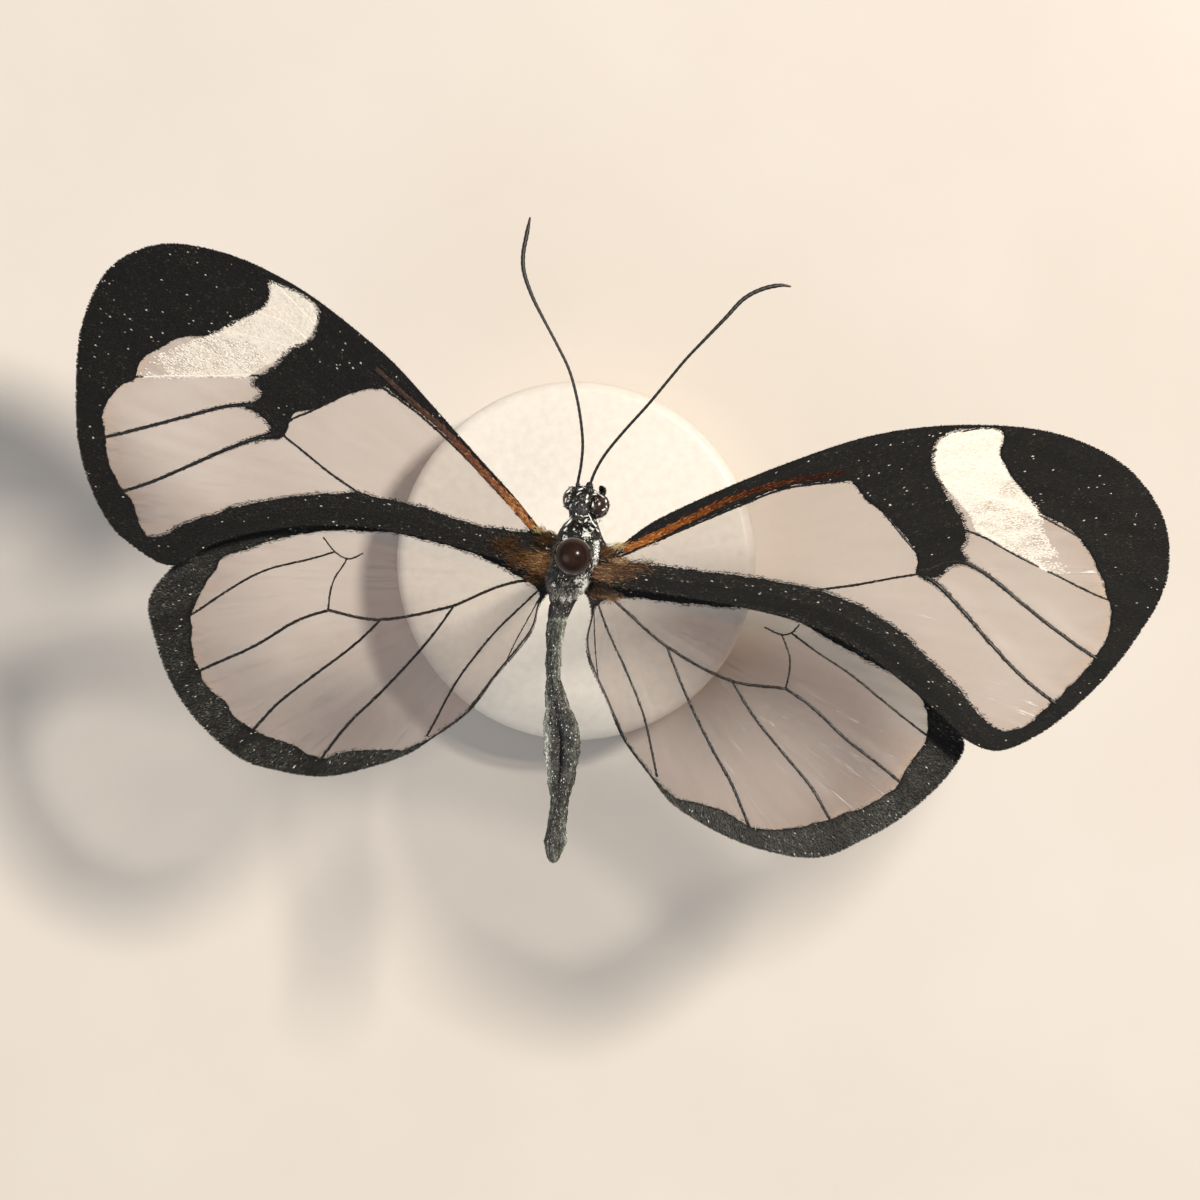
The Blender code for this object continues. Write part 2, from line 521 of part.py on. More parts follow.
def build_limbs(looks):
    """Feelers, palps, the coiled proboscis and the folded legs, in pairs."""
    for side, path in (("left", ANTENNA_LEFT), ("right", ANTENNA_RIGHT)):
        made = tube("antenna_" + side, path, ANTENNA_RADII, 0.6, 8, looks["body"])
        cut(made, grown_head())
    for side, sign in (("left", -1), ("right", 1)):
        path = [on_head((sign * x, y, z)) for x, y, z in PALP_PATH]
        cut(tube("palp_" + side, path, PALP_RADII, 0.2, 8, looks["body"]), grown_head())
        for name, (middle, places) in LEG_PATHS.items():
            path = [(middle + sign * x, y, BODY_HEIGHT + z) for x, y, z in places]
            cut(tube(name + "_" + side, path, LEG_RADII, 0.35, 8, looks["body"]), grown_thorax())
    coil = []
    for k in range(13):
        angle = math.pi / 2 - COIL_TURN * k / 12
        coil.append((HEAD_CENTRE[0] + COIL_CENTRE[0],
                     HEAD_CENTRE[1] + COIL_CENTRE[1] + COIL_RADIUS * math.cos(angle),
                     HEAD_CENTRE[2] + COIL_CENTRE[2] + COIL_RADIUS * math.sin(angle)))
    tube("proboscis", coil, COIL_RADII, 0.18, 8, looks["body"])


def shade():
    """Round pieces smooth, with sharp edges kept."""
    for obj in bpy.context.scene.objects:
        obj.data.shade_smooth()
        obj.data.set_sharp_from_angle(angle=math.radians(40))


def main():
    for obj in list(bpy.data.objects):
        bpy.data.objects.remove(obj)
    looks = {
        "body": material("dark_chitin", (0.12, 0.11, 0.10), 0.6),
        "wing": material("wing_membrane", (0.45, 0.38, 0.33), 0.4),
        "eye": material("dark_eye", (0.10, 0.06, 0.05), 0.2),
        "pin": material("steel_pin", (0.55, 0.55, 0.55), 0.3, 1.0),
        "bead": material("brown_bead", (0.20, 0.12, 0.09), 0.15),
        "stand": material("pale_stand", (0.86, 0.85, 0.82), 0.5),
    }
    build_stand(looks)
    build_body(looks)
    build_wings(looks)
    build_limbs(looks)
    shade()


main()
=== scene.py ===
import math

import bpy
import numpy as np
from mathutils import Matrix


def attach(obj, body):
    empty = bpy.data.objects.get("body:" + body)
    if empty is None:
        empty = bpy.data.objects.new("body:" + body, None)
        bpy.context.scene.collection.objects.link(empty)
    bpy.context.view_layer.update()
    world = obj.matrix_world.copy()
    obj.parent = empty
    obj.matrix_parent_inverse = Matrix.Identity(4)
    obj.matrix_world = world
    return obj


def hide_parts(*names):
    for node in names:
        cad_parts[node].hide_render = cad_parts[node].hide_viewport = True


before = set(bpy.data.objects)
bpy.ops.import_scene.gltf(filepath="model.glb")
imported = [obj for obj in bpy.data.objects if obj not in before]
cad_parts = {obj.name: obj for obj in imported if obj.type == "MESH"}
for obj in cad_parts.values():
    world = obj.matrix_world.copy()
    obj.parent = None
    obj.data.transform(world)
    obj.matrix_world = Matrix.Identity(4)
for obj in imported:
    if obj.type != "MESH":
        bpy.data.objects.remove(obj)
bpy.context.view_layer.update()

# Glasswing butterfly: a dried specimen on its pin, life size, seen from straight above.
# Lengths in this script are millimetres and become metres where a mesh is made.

MM = 0.001
BODY_HEIGHT = 26.0
HEAD_CENTRE = np.array([0.65, 2.88, 26.1])
HEAD_ROLL = math.radians(20.0)
HEAD_YAW = math.radians(-17.0)

# The wings: the step of the grids that they are cut from, how far the membrane stays inside the rim and
# the dark cover inside its own edge, half the thickness of the membrane and of cover and band, and the
# place on a right wing from which its rays run.
WING_STEP = 0.17
RIM_INSET = 0.13
COVER_INSET = 0.05
MEMBRANE_HALF = 0.025
COVER_HALF = 0.035
FORE_ROOT = (2.0, -0.5)
HIND_ROOT = (1.9, -2.1)

# Maps of distances over a wing: the side of a cell and the margin round the rim. A pattern that follows
# the rays from a wing's root takes RAY_REACH millimetres for one radian about it.
MAP_CELL = 0.1
MAP_MARGIN = 0.8
RAY_REACH = 18.0

# Single scales and hairs: the corners of each, a scale's ridge above its sides and the place of its
# widest part, the size of their patch on the baked picture, their spacing on each part of a wing, and
# the height of their roots over its skin.
SCALE_POINTS = 4
HAIR_POINTS = 7
SCALE_RIDGE = 0.005
SCALE_WAIST = 0.62
BAKE_PATCH = 0.003
UPPER_SPACING = 0.068
LOWER_SPACING = 0.13
BAND_SPACING = 0.064
HAIR_SPACING = 0.7
COVER_HEIGHT = 0.067
BAND_HEIGHT = 0.048
STREAK_HEIGHT = 0.075

# How many there are: along a millimetre of vein, along a step of the rim, on a bright stroke, on a rusty
# streak, round an eye, on a palp, on a leg, and on head, thorax and abdomen.
VEIN_SCALES_PER_MM = 34
FRINGE_HAIRS = 9
STROKE_SCALES = 5
STREAK_SCALES = 2800
EYE_RIM_SCALES = 900
PALP_SCALES = 700
LEG_SPINES = 60
HEAD_SCALES = 9000
THORAX_SCALES = 26000
ABDOMEN_SCALES = 34000

# Points that are measured at a time, how far marks may be missed by the bend that carries a wing, and
# the steps at which outlines, lines and veins are read.
CHUNK = 3000
BEND_STIFFNESS = 1.0
OUTLINE_STEPS = {"rim": 0.25, "clear": 0.25, "bar": 0.2, "band": 0.2}
LINE_STEP = 0.3
VEIN_STEP = 0.2

# The photograph's frame: one pixel at the wings, the view's middle and the distance of the eye.
PIXEL = 0.052
PHOTO_SIDE = 1200
VIEW_MIDDLE = (1.326, -2.184)
VIEW_PLANE = 26.5
VIEW_DISTANCE = 300.0
SENSOR = 36.0

# The wings' middle surfaces, as the solids have them: the bow along the span, and for each wing the
# height of its root and its slope in degrees.
WING_BOW = 0.05
WING_SPAN = 29.0
WINGS = {
    "forewing_right": (26.6, 3.0),
    "forewing_left": (26.6, -14.0),
    "hindwing_right": (25.35, 0.0),
    "hindwing_left": (25.35, -14.0),
}

# Outlines of the right wings, seen from above: the rim, the clear field, the bar that crosses the
# forewing's field and the white band. Lines: the two ends along which the band fades, the stripe along
# the rear edge and the rusty streak behind the front edge.
FOREWING_RIM = [
    (0.7, 0.2), (2.0, 0.6), (3.9, 1.9), (6.1, 3.0), (10.9, 5.0), (15.6, 6.5), (20.3, 7.0), (25.1, 6.5),
    (28.7, 4.7), (30.6, 1.9), (30.7, -1.2), (29.2, -4.1), (27.0, -6.8), (24.1, -9.2), (21.8, -10.1),
    (20.3, -9.6), (18.9, -8.3), (17.1, -6.7), (14.8, -5.0), (11.7, -3.5), (7.7, -2.5), (4.5, -2.0),
    (2.3, -1.6), (0.7, -1.2),
]
FOREWING_CLEAR = [
    (2.2, 0.06), (4.0, 0.72), (6.1, 1.7), (8.5, 2.7), (10.9, 3.6), (13.2, 3.9), (15.1, 4.1), (16.9, 4.8),
    (18.5, 5.6), (19.1, 6.3), (20.3, 6.6), (22.1, 6.5), (22.0, 5.3), (22.7, 4.0), (24.1, 2.3),
    (25.8, 1.3), (26.7, 0.1), (27.4, -1.6), (27.7, -2.8), (27.5, -4.1), (26.7, -5.4), (25.5, -6.7),
    (24.1, -8.0), (23.2, -8.7), (22.2, -8.9), (21.5, -8.6), (20.7, -7.8), (19.9, -6.7), (18.4, -5.3),
    (16.8, -3.7), (14.6, -2.4), (12.5, -1.6), (8.7, -0.9), (5.6, -0.5), (3.7, -0.28),
]
FOREWING_BAR = [
    (13.5, 4.1), (14.2, 4.0), (15.2, 2.9), (16.5, 1.7), (17.5, 0.5), (17.7, -0.2), (17.6, -0.8),
    (18.2, -1.1), (18.9, -1.0), (19.4, -0.5), (20.4, -0.1), (20.0, 0.4), (20.3, 0.9), (20.1, 1.9),
    (19.2, 3.4), (18.6, 4.6), (18.6, 5.8), (16.9, 6.1), (14.3, 5.3),
]
FOREWING_BAND = [
    (19.1, 6.3), (20.3, 6.6), (22.1, 6.5), (22.0, 5.3), (22.7, 4.0), (24.0, 2.4), (24.2, 1.4),
    (25.1, -0.1), (25.4, -0.9), (24.1, -0.5), (23.1, 0.1), (21.8, 0.8), (20.7, 1.5), (20.3, 2.4),
    (19.2, 3.6), (18.6, 4.5), (18.6, 5.6),
]
BAND_ENDS = [(20.3, 6.2), (24.6, -0.6)]
STRIPE_LINE = [(2.5, -0.9), (8.0, -1.7), (12.5, -2.5), (15.0, -3.8), (17.5, -5.9), (19.8, -8.2)]
FOREWING_STREAK = [(2.5, 0.4), (3.9, 1.0), (6.1, 2.1), (8.5, 3.2), (10.9, 3.9), (12.5, 4.2), (13.7, 4.4)]
HINDWING_RIM = [
    (0.2, -0.6), (2.4, -1.2), (6.5, -1.8), (11.8, -2.8), (15.9, -4.8), (18.8, -7.1), (20.2, -9.0),
    (20.4, -9.9), (19.5, -11.4), (18.1, -12.8), (16.5, -14.0), (14.8, -14.9), (13.2, -15.6),
    (11.7, -15.7), (8.8, -15.0), (6.7, -14.0), (4.9, -12.8), (3.8, -11.4), (2.4, -9.5), (1.5, -7.4),
    (0.6, -5.4), (0.45, -4.2), (0.75, -2.9), (0.6, -2.1), (0.1, -1.5),
]
HINDWING_CLEAR = [
    (1.3, -2.4), (2.4, -2.1), (6.5, -2.5), (10.7, -2.9), (12.8, -4.0), (14.8, -5.1), (16.9, -6.3),
    (17.8, -7.0), (18.3, -7.9), (18.3, -9.2), (17.9, -10.1), (17.1, -11.2), (16.6, -12.0), (15.6, -12.7),
    (13.8, -13.4), (12.5, -13.8), (10.7, -14.1), (9.3, -14.0), (7.7, -13.1), (6.2, -12.7), (5.2, -12.4),
    (4.3, -11.6), (3.8, -11.0), (2.6, -9.3), (1.6, -7.2), (0.8, -5.3), (0.6, -4.2),
]

# The left wings' own fields, band, streak and front vein, as they show from above.
LEFT_FOREWING_CLEAR = [
    (-2.24, 1.47), (-2.87, 2.36), (-3.94, 3.53), (-5.1, 4.78), (-6.45, 6.12), (-8.06, 7.56),
    (-9.31, 8.45), (-10.03, 8.99), (-10.9, 9.8), (-12.0, 11.1), (-13.1, 12.4), (-13.43, 13.05),
    (-13.89, 13.55), (-14.47, 13.9), (-15.16, 14.25), (-15.9, 14.45), (-15.98, 13.9), (-16.21, 13.26),
    (-16.9, 12.85), (-18.06, 12.33), (-19.1, 11.8), (-20.97, 11.58), (-21.9, 11.11), (-23.0, 10.42),
    (-23.29, 9.49), (-23.99, 9.14), (-24.8, 8.21), (-25.03, 7.4), (-24.8, 6.47), (-24.78, 5.54),
    (-24.45, 4.61), (-23.87, 3.57), (-23.4, 2.99), (-23.06, 2.06), (-22.6, 1.18), (-21.9, 1.25),
    (-20.97, 1.71), (-19.9, 2.12), (-17.51, 2.83), (-15.12, 3.26), (-12.74, 3.43), (-11.28, 3.48),
    (-10.48, 3.26), (-9.13, 2.99), (-7.7, 2.63), (-6.45, 2.18), (-4.92, 1.73), (-3.76, 1.55),
]
LEFT_FOREWING_BAR = [
    (-10.0, 8.9), (-10.89, 8.79), (-11.91, 8.56), (-12.84, 8.1), (-14.0, 7.75), (-14.75, 7.63),
    (-15.05, 6.93), (-15.3, 6.4), (-16.2, 6.2), (-16.8, 6.15), (-16.33, 6.47), (-15.98, 6.82),
    (-16.33, 7.28), (-16.9, 7.7), (-17.6, 7.98), (-16.79, 8.33), (-16.44, 8.8), (-16.9, 9.14),
    (-16.79, 9.4), (-15.75, 10.07), (-15.16, 10.76), (-14.35, 11.35), (-13.89, 11.46), (-13.54, 12.04),
    (-13.43, 12.85), (-12.6, 12.9), (-11.0, 11.2), (-9.7, 9.5),
]
LEFT_FOREWING_BAND = [
    (-15.98, 14.48), (-15.16, 14.25), (-14.47, 13.9), (-13.89, 13.55), (-13.43, 12.97), (-13.54, 12.04),
    (-13.89, 11.46), (-14.7, 11.06), (-15.4, 10.54), (-16.33, 10.07), (-17.37, 9.55), (-18.65, 9.6),
    (-20.04, 9.55), (-21.5, 9.45), (-22.9, 9.5), (-22.6, 10.2), (-21.4, 11.0), (-19.1, 11.75),
    (-18.06, 12.33), (-16.9, 12.85), (-16.21, 13.26), (-15.98, 13.9),
]
LEFT_BAND_ENDS = [(-14.6, 13.4), (-21.3, 9.4)]
LEFT_FOREWING_STREAK = [(-2.08, 1.5), (-3.2, 2.82), (-4.7, 4.46), (-6.7, 6.57), (-8.72, 8.38), (-10.2, 9.75)]
LEFT_FRONT_VEIN = [
    (-1.75, 0.95), (-3.9, 3.35), (-5.15, 4.7), (-6.5, 6.05), (-8.05, 7.45), (-9.3, 8.4), (-10.55, 9.3),
    (-13.45, 12.09), (-16.6, 14.97), (-20.5, 15.82),
]
LEFT_HINDWING_CLEAR = [
    (-2.0, -1.7), (-3.1, -0.9), (-5.4, 0.2), (-8.14, 1.0), (-9.2, 1.25), (-11.5, 1.45), (-13.2, 1.4),
    (-14.5, 1.22), (-16.3, 0.81), (-18.0, 0.25), (-18.7, -0.03), (-19.0, -0.66), (-19.49, -1.3),
    (-19.8, -1.93), (-20.13, -2.57), (-20.29, -3.13), (-20.22, -3.7), (-20.29, -4.32), (-20.13, -5.2),
    (-19.89, -5.83), (-19.65, -6.47), (-19.18, -7.03), (-18.46, -7.59), (-18.06, -8.22), (-17.43, -8.7),
    (-16.95, -9.02), (-16.07, -9.42), (-14.88, -9.81), (-14.08, -10.29), (-13.13, -10.5),
    (-12.33, -10.15), (-11.15, -10.05), (-10.1, -10.03), (-8.97, -9.97), (-7.81, -9.49), (-7.14, -9.08),
    (-5.55, -7.84), (-4.13, -6.1), (-2.83, -4.54), (-2.16, -3.59),
]

# The right wings' outlines and lines, and those in which a left wing differs from them.
RIGHT_FOREWING = {
    "rim": FOREWING_RIM, "clear": FOREWING_CLEAR, "bar": FOREWING_BAR, "band": FOREWING_BAND,
    "streak": FOREWING_STREAK, "stripe": STRIPE_LINE,
}
RIGHT_HINDWING = {"rim": HINDWING_RIM, "clear": HINDWING_CLEAR}
LEFT_OWN = {
    "forewing_left": {"clear": LEFT_FOREWING_CLEAR, "bar": LEFT_FOREWING_BAR, "band": LEFT_FOREWING_BAND,
                      "streak": LEFT_FOREWING_STREAK},
    "hindwing_left": {"clear": LEFT_HINDWING_CLEAR},
}

# Veins of the right wings: path, radius at its root and at its end, and how dark it is from 0 to 1.
FOREWING_VEINS = [
    ([(2.2, 0.0), (6.1, 1.68), (8.5, 2.68), (10.9, 3.58), (14.4, 4.1), (18.2, 5.4), (22.5, 6.4),
      (26.8, 4.9)], 0.09, 0.06, 1),
    ([(14.4, 4.0), (15.8, 2.6), (17.0, 1.1), (17.9, 0.0), (18.1, -0.9)], 0.07, 0.07, 1),
    ([(2.2, -0.7), (5.5, -1.2), (9.0, -1.5), (12.7, -1.7)], 0.13, 0.11, 1),
    ([(12.7, -1.65), (14.6, -1.4), (16.5, -1.05), (18.1, -0.8)], 0.07, 0.07, 1),
    ([(18.1, -0.9), (18.9, -1.5), (20.3, -3.0), (21.5, -4.4), (23.2, -6.2), (24.7, -7.4), (25.7, -8.0)],
     0.21, 0.11, 1),
    ([(18.3, -0.6), (19.4, -0.2), (20.3, -0.3), (21.5, -1.0), (23.2, -2.4), (25.1, -3.9), (27.0, -5.2),
      (27.9, -5.6)], 0.21, 0.11, 1),
    ([(17.0, 1.1), (19.4, 1.6), (20.3, 1.4), (21.3, 1.0), (22.7, 0.2), (25.1, -1.0), (27.4, -2.1),
      (30.0, -2.8)], 0.07, 0.06, 1),
    ([(15.8, 2.6), (18.4, 4.0), (19.2, 3.7), (21.6, 3.1), (23.6, 2.4), (26.4, 0.9), (29.0, -0.6),
      (30.3, -1.2)], 0.06, 0.06, 0.45),
    ([(15.8, 2.8), (18.2, 4.3), (20.2, 4.7), (22.5, 4.3), (25.6, 3.5), (28.7, 2.0), (30.2, 1.1)],
     0.06, 0.06, 0.6),
    ([(4.0, -1.3), (9.0, -2.0), (12.7, -2.6), (15.4, -3.9), (18.2, -6.4), (20.2, -8.6), (21.6, -9.6)],
     0.09, 0.07, 1),
    ([(9.0, 3.7), (13.0, 5.0), (17.0, 5.9), (21.0, 6.7)], 0.07, 0.05, 1),
]
HINDWING_VEINS = [
    ([(1.6, -2.0), (1.9, -2.1), (4.8, -4.6), (8.2, -6.4), (11.0, -6.8)], 0.09, 0.09, 0.8),
    ([(11.0, -6.8), (12.3, -7.7), (14.1, -9.4), (15.9, -10.8), (18.1, -12.6)], 0.09, 0.09, 1),
    ([(11.0, -6.8), (11.2, -5.9), (11.2, -5.1), (10.8, -4.0)], 0.06, 0.05, 0.7),
    ([(9.9, -3.6), (10.8, -4.0), (11.3, -3.9), (11.7, -3.5)], 0.05, 0.05, 0.7),
    ([(11.3, -3.9), (12.5, -4.8), (14.3, -6.0), (16.4, -7.7), (18.3, -9.2), (19.6, -10.1)], 0.06, 0.07, 0.8),
    ([(8.2, -6.4), (9.3, -8.2), (10.9, -10.2), (12.3, -11.9), (13.3, -13.6), (13.9, -14.6)], 0.07, 0.09, 1),
    ([(4.8, -4.6), (5.8, -7.1), (7.2, -10.0), (8.2, -11.8), (8.9, -13.5), (9.4, -14.7)], 0.07, 0.09, 1),
    ([(1.2, -2.3), (1.7, -3.7), (2.7, -5.9), (3.6, -8.2), (4.3, -11.4)], 0.06, 0.07, 0.9),
    ([(1.0, -2.6), (1.1, -5.0), (1.3, -6.9)], 0.04, 0.03, 0.8),
    ([(0.98, -2.3), (0.93, -3.0), (0.68, -4.2), (0.84, -5.3), (1.7, -7.3), (2.6, -9.4)], 0.05, 0.06, 0.9),
    ([(1.6, -1.6), (5.0, -1.9), (9.0, -2.4), (13.0, -3.6), (17.0, -6.0)], 0.07, 0.06, 0.9),
]

# Marks on a right wing, each with the place of the same mark on the left wing.
FOREWING_MARKS = [
    ((1.3, 0.3), (-0.6, 0.9)), ((1.3, -1.4), (-0.8, -0.7)), ((2.0, 0.6), (-1.3, 1.2)),
    ((6.1, 3.0), (-4.5, 4.9)), ((10.9, 5.0), (-7.8, 8.6)), ((15.6, 6.5), (-11.2, 11.9)),
    ((20.3, 7.0), (-14.7, 14.5)), ((25.1, 6.5), (-18.7, 16.3)), ((28.7, 4.7), (-22.2, 16.7)),
    ((30.6, 1.9), (-24.9, 15.3)), ((30.7, -1.2), (-26.3, 12.2)), ((29.2, -4.1), (-26.6, 8.5)),
    ((27.0, -6.8), (-26.1, 4.7)), ((24.1, -9.2), (-24.4, 1.3)), ((22.4, -10.1), (-22.4, -0.2)),
    ((18.9, -8.3), (-19.3, 0.5)), ((14.8, -5.0), (-14.6, 1.5)), ((7.7, -2.5), (-7.3, 0.8)),
    ((14.1, 4.0), (-10.3, 9.0)), ((12.8, -1.6), (-11.5, 3.6)), ((18.2, -1.0), (-15.7, 6.5)),
    ((24.7, -7.3), (-24.2, 3.6)), ((27.0, -5.1), (-25.2, 6.5)), ((27.5, -2.2), (-23.6, 9.6)),
]
HINDWING_MARKS = [
    ((1.2, -0.7), (-1.3, -0.4)), ((0.9, -2.2), (-1.5, -1.7)), ((0.6, -5.4), (-2.7, -4.7)),
    ((2.4, -9.5), (-5.4, -8.1)), ((4.9, -12.8), (-8.8, -10.4)), ((8.8, -15.0), (-13.3, -11.6)),
    ((11.7, -15.7), (-16.0, -11.2)), ((13.2, -15.6), (-17.4, -10.8)), ((14.8, -14.9), (-18.8, -9.9)),
    ((16.5, -14.0), (-20.1, -8.6)), ((18.1, -12.8), (-21.3, -7.0)), ((19.5, -11.4), (-22.2, -4.9)),
    ((20.4, -9.9), (-22.7, -2.8)), ((20.2, -9.0), (-22.6, -1.7)), ((18.8, -7.1), (-21.2, -0.1)),
    ((15.9, -4.8), (-18.2, 1.5)), ((11.8, -2.8), (-13.6, 2.2)), ((6.5, -1.8), (-8.0, 1.9)),
    ((4.8, -4.6), (-6.3, -2.5)), ((8.2, -6.4), (-10.2, -3.2)), ((11.0, -6.8), (-13.0, -2.7)),
    ((10.8, -4.0), (-11.9, -0.1)), ((18.3, -9.2), (-20.3, -3.0)), ((16.8, -11.6), (-20.0, -6.0)),
    ((13.3, -13.5), (-17.0, -9.0)), ((8.8, -13.8), (-13.1, -10.5)), ((4.3, -11.6), (-7.8, -9.5)),
]

# Skin sections from the face to the tail: y, middle x, middle z, half width, half height.
BODY_SECTIONS = [
    (3.72, 0.38, 0.06, 0.02, 0.02), (3.69, 0.38, 0.06, 0.28, 0.28), (3.58, 0.40, 0.06, 0.55, 0.52),
    (3.40, 0.42, 0.08, 0.75, 0.70), (3.15, 0.47, 0.10, 0.86, 0.83), (2.80, 0.52, 0.10, 0.89, 0.87),
    (2.45, 0.53, 0.10, 0.82, 0.80), (2.20, 0.49, 0.09, 0.73, 0.72), (2.00, 0.42, 0.08, 0.72, 0.74),
    (1.80, 0.35, 0.06, 0.82, 0.88), (1.45, 0.28, 0.05, 1.02, 1.12), (1.05, 0.26, 0.02, 1.18, 1.34),
    (0.60, 0.24, 0.0, 1.33, 1.52), (0.10, 0.17, 0.0, 1.37, 1.62), (-0.45, -0.04, 0.0, 1.32, 1.62),
    (-0.95, -0.24, -0.02, 1.20, 1.46), (-1.40, -0.36, -0.04, 1.03, 1.23),
    (-1.85, -0.47, -0.06, 0.86, 0.98), (-2.20, -0.58, -0.08, 0.70, 0.76),
    (-2.55, -0.72, -0.10, 0.60, 0.64), (-3.60, -0.96, -0.15, 0.47, 0.55),
    (-4.80, -1.06, -0.22, 0.37, 0.53), (-6.20, -1.09, -0.30, 0.36, 0.55),
    (-7.50, -0.90, -0.36, 0.56, 0.62), (-8.50, -0.71, -0.42, 0.80, 0.66),
    (-9.60, -0.61, -0.48, 0.90, 0.64), (-10.70, -0.65, -0.54, 0.79, 0.60),
    (-11.70, -0.69, -0.60, 0.63, 0.54), (-12.90, -0.81, -0.66, 0.45, 0.47),
    (-14.10, -0.95, -0.72, 0.49, 0.43), (-14.80, -1.00, -0.76, 0.53, 0.41),
    (-15.40, -1.08, -0.80, 0.40, 0.34), (-15.75, -1.10, -0.82, 0.24, 0.20),
    (-15.9, -1.10, -0.82, 0.03, 0.03),
]

# Swellings and hollows of the skin: y, angle from the right side over the top, reach along y, reach
# in degrees, and height.
BODY_FORMS = [
    (0.55, 28, 0.45, 20, 0.10), (0.65, 150, 0.45, 20, 0.10), (1.45, 52, 0.25, 22, 0.10),
    (1.45, 128, 0.25, 22, 0.10), (1.12, 90, 0.09, 44, -0.07), (-1.02, 90, 0.09, 60, -0.12),
    (-1.45, 95, 0.26, 40, 0.12), (-2.28, 90, 0.12, 90, -0.10), (3.45, 90, 0.16, 30, 0.05),
    (3.05, 105, 0.10, 60, -0.06), (2.05, 90, 0.10, 70, -0.10), (-0.3, 35, 0.7, 10, -0.07),
    (-9.7, 112, 1.9, 24, -0.46), (-9.3, 48, 1.6, 16, 0.10), (-8.2, 62, 0.35, 14, 0.09),
    (-9.6, 66, 0.22, 12, -0.14), (-13.9, 80, 0.8, 22, -0.12), (-12.6, 120, 0.6, 22, -0.10),
    (-4.4, 165, 2.4, 12, 0.05), (-9.2, 165, 2.6, 14, 0.08), (-15.3, 60, 0.25, 20, -0.12),
]

# Colour of the coat over its black or grey ground, laid like the swellings, lighter or darker. The
# darker spots laid on the abdomen's hollows are painted shade.
BODY_TONES = [
    (-2.62, 90, 0.27, 200, -0.60), (-3.15, 90, 0.10, 200, 0.25), (-4.5, 20, 1.6, 34, 0.34),
    (-9.6, 158, 3.0, 15, 0.50), (-9.9, 112, 2.1, 32, -0.42), (-9.6, 66, 0.25, 14, -0.3),
    (-8.6, 30, 1.6, 18, 0.16), (-12.2, 90, 0.7, 60, -0.12), (-14.4, 8, 0.7, 30, 0.25),
    (-13.8, 100, 1.2, 30, -0.14), (-5.6, 110, 1.8, 26, -0.12), (-15.6, 90, 0.4, 200, 0.10),
]

# White scale patches on the thorax, seen from above: x, y, reach and strength.
BODY_WHITES = [
    (0.62, 1.24, 0.22, 1.0), (0.85, 1.98, 0.13, 0.7), (-0.47, 1.14, 0.12, 1.0), (1.12, 0.88, 0.14, 1.0),
    (1.15, 0.62, 0.14, 1.0), (1.16, 0.36, 0.14, 1.0), (1.14, 0.10, 0.14, 1.0), (1.13, -0.18, 0.14, 1.0),
    (1.10, -0.48, 0.15, 1.0), (1.00, -0.85, 0.18, 1.0), (0.78, -1.20, 0.22, 1.0),
    (0.52, -1.55, 0.20, 1.0), (0.30, -1.95, 0.18, 1.0), (1.52, 0.42, 0.10, 1.0), (1.56, 0.15, 0.10, 1.0),
    (1.50, -0.12, 0.09, 0.8), (0.55, -1.05, 0.30, 0.8), (0.15, -1.10, 0.16, 0.5),
    (-0.60, -2.05, 0.18, 0.6), (-0.20, -2.05, 0.14, 0.8), (-1.05, -1.30, 0.12, 0.6),
]

# Single bright strokes of long white scales on the head and collar, seen from above: the two ends.
WHITE_STROKES = [
    (0.18, 3.52, 0.46, 3.62), (0.10, 3.26, 0.30, 3.44), (0.26, 3.84, 0.62, 3.62),
    (-0.44, 3.38, -0.20, 3.54), (0.62, 3.08, 0.72, 3.30), (0.58, 2.86, 0.72, 2.94),
    (0.56, 2.90, 0.70, 2.97), (0.04, 2.84, 0.16, 2.90), (-0.26, 2.62, -0.16, 2.82),
    (-0.48, 2.88, -0.42, 3.12), (0.06, 2.33, 0.10, 2.23), (0.30, 2.23, 0.46, 2.15),
    (0.50, 2.17, 0.78, 2.21), (0.70, 2.33, 0.90, 1.93), (0.82, 2.03, 1.02, 1.77),
    (0.82, 3.66, 0.90, 3.46), (0.94, 3.30, 1.16, 3.32), (1.13, 3.48, 1.33, 3.28),
    (1.00, 3.44, 1.20, 3.40), (1.33, 3.28, 1.55, 3.12), (1.59, 3.02, 1.65, 2.86),
    (1.63, 2.72, 1.69, 2.60), (1.63, 2.56, 1.41, 2.46), (1.27, 1.83, 1.35, 2.03),
    (1.38, 1.93, 1.48, 2.03), (0.96, 2.62, 0.98, 2.92), (-0.62, 1.73, -0.18, 2.17),
    (-0.50, 1.66, -0.12, 2.02), (0.48, 1.83, 0.64, 2.03), (0.46, 1.57, 0.58, 1.37),
    (0.60, 1.50, 0.74, 1.24), (1.13, 1.53, 1.27, 1.35), (-0.58, 1.39, -0.38, 1.57),
    (-0.08, 1.42, 0.00, 1.52), (0.76, 1.62, 1.02, 1.46), (0.92, 1.86, 1.16, 1.62),
    (0.20, 1.95, 0.34, 1.80), (1.00, 2.06, 1.12, 1.92),
]

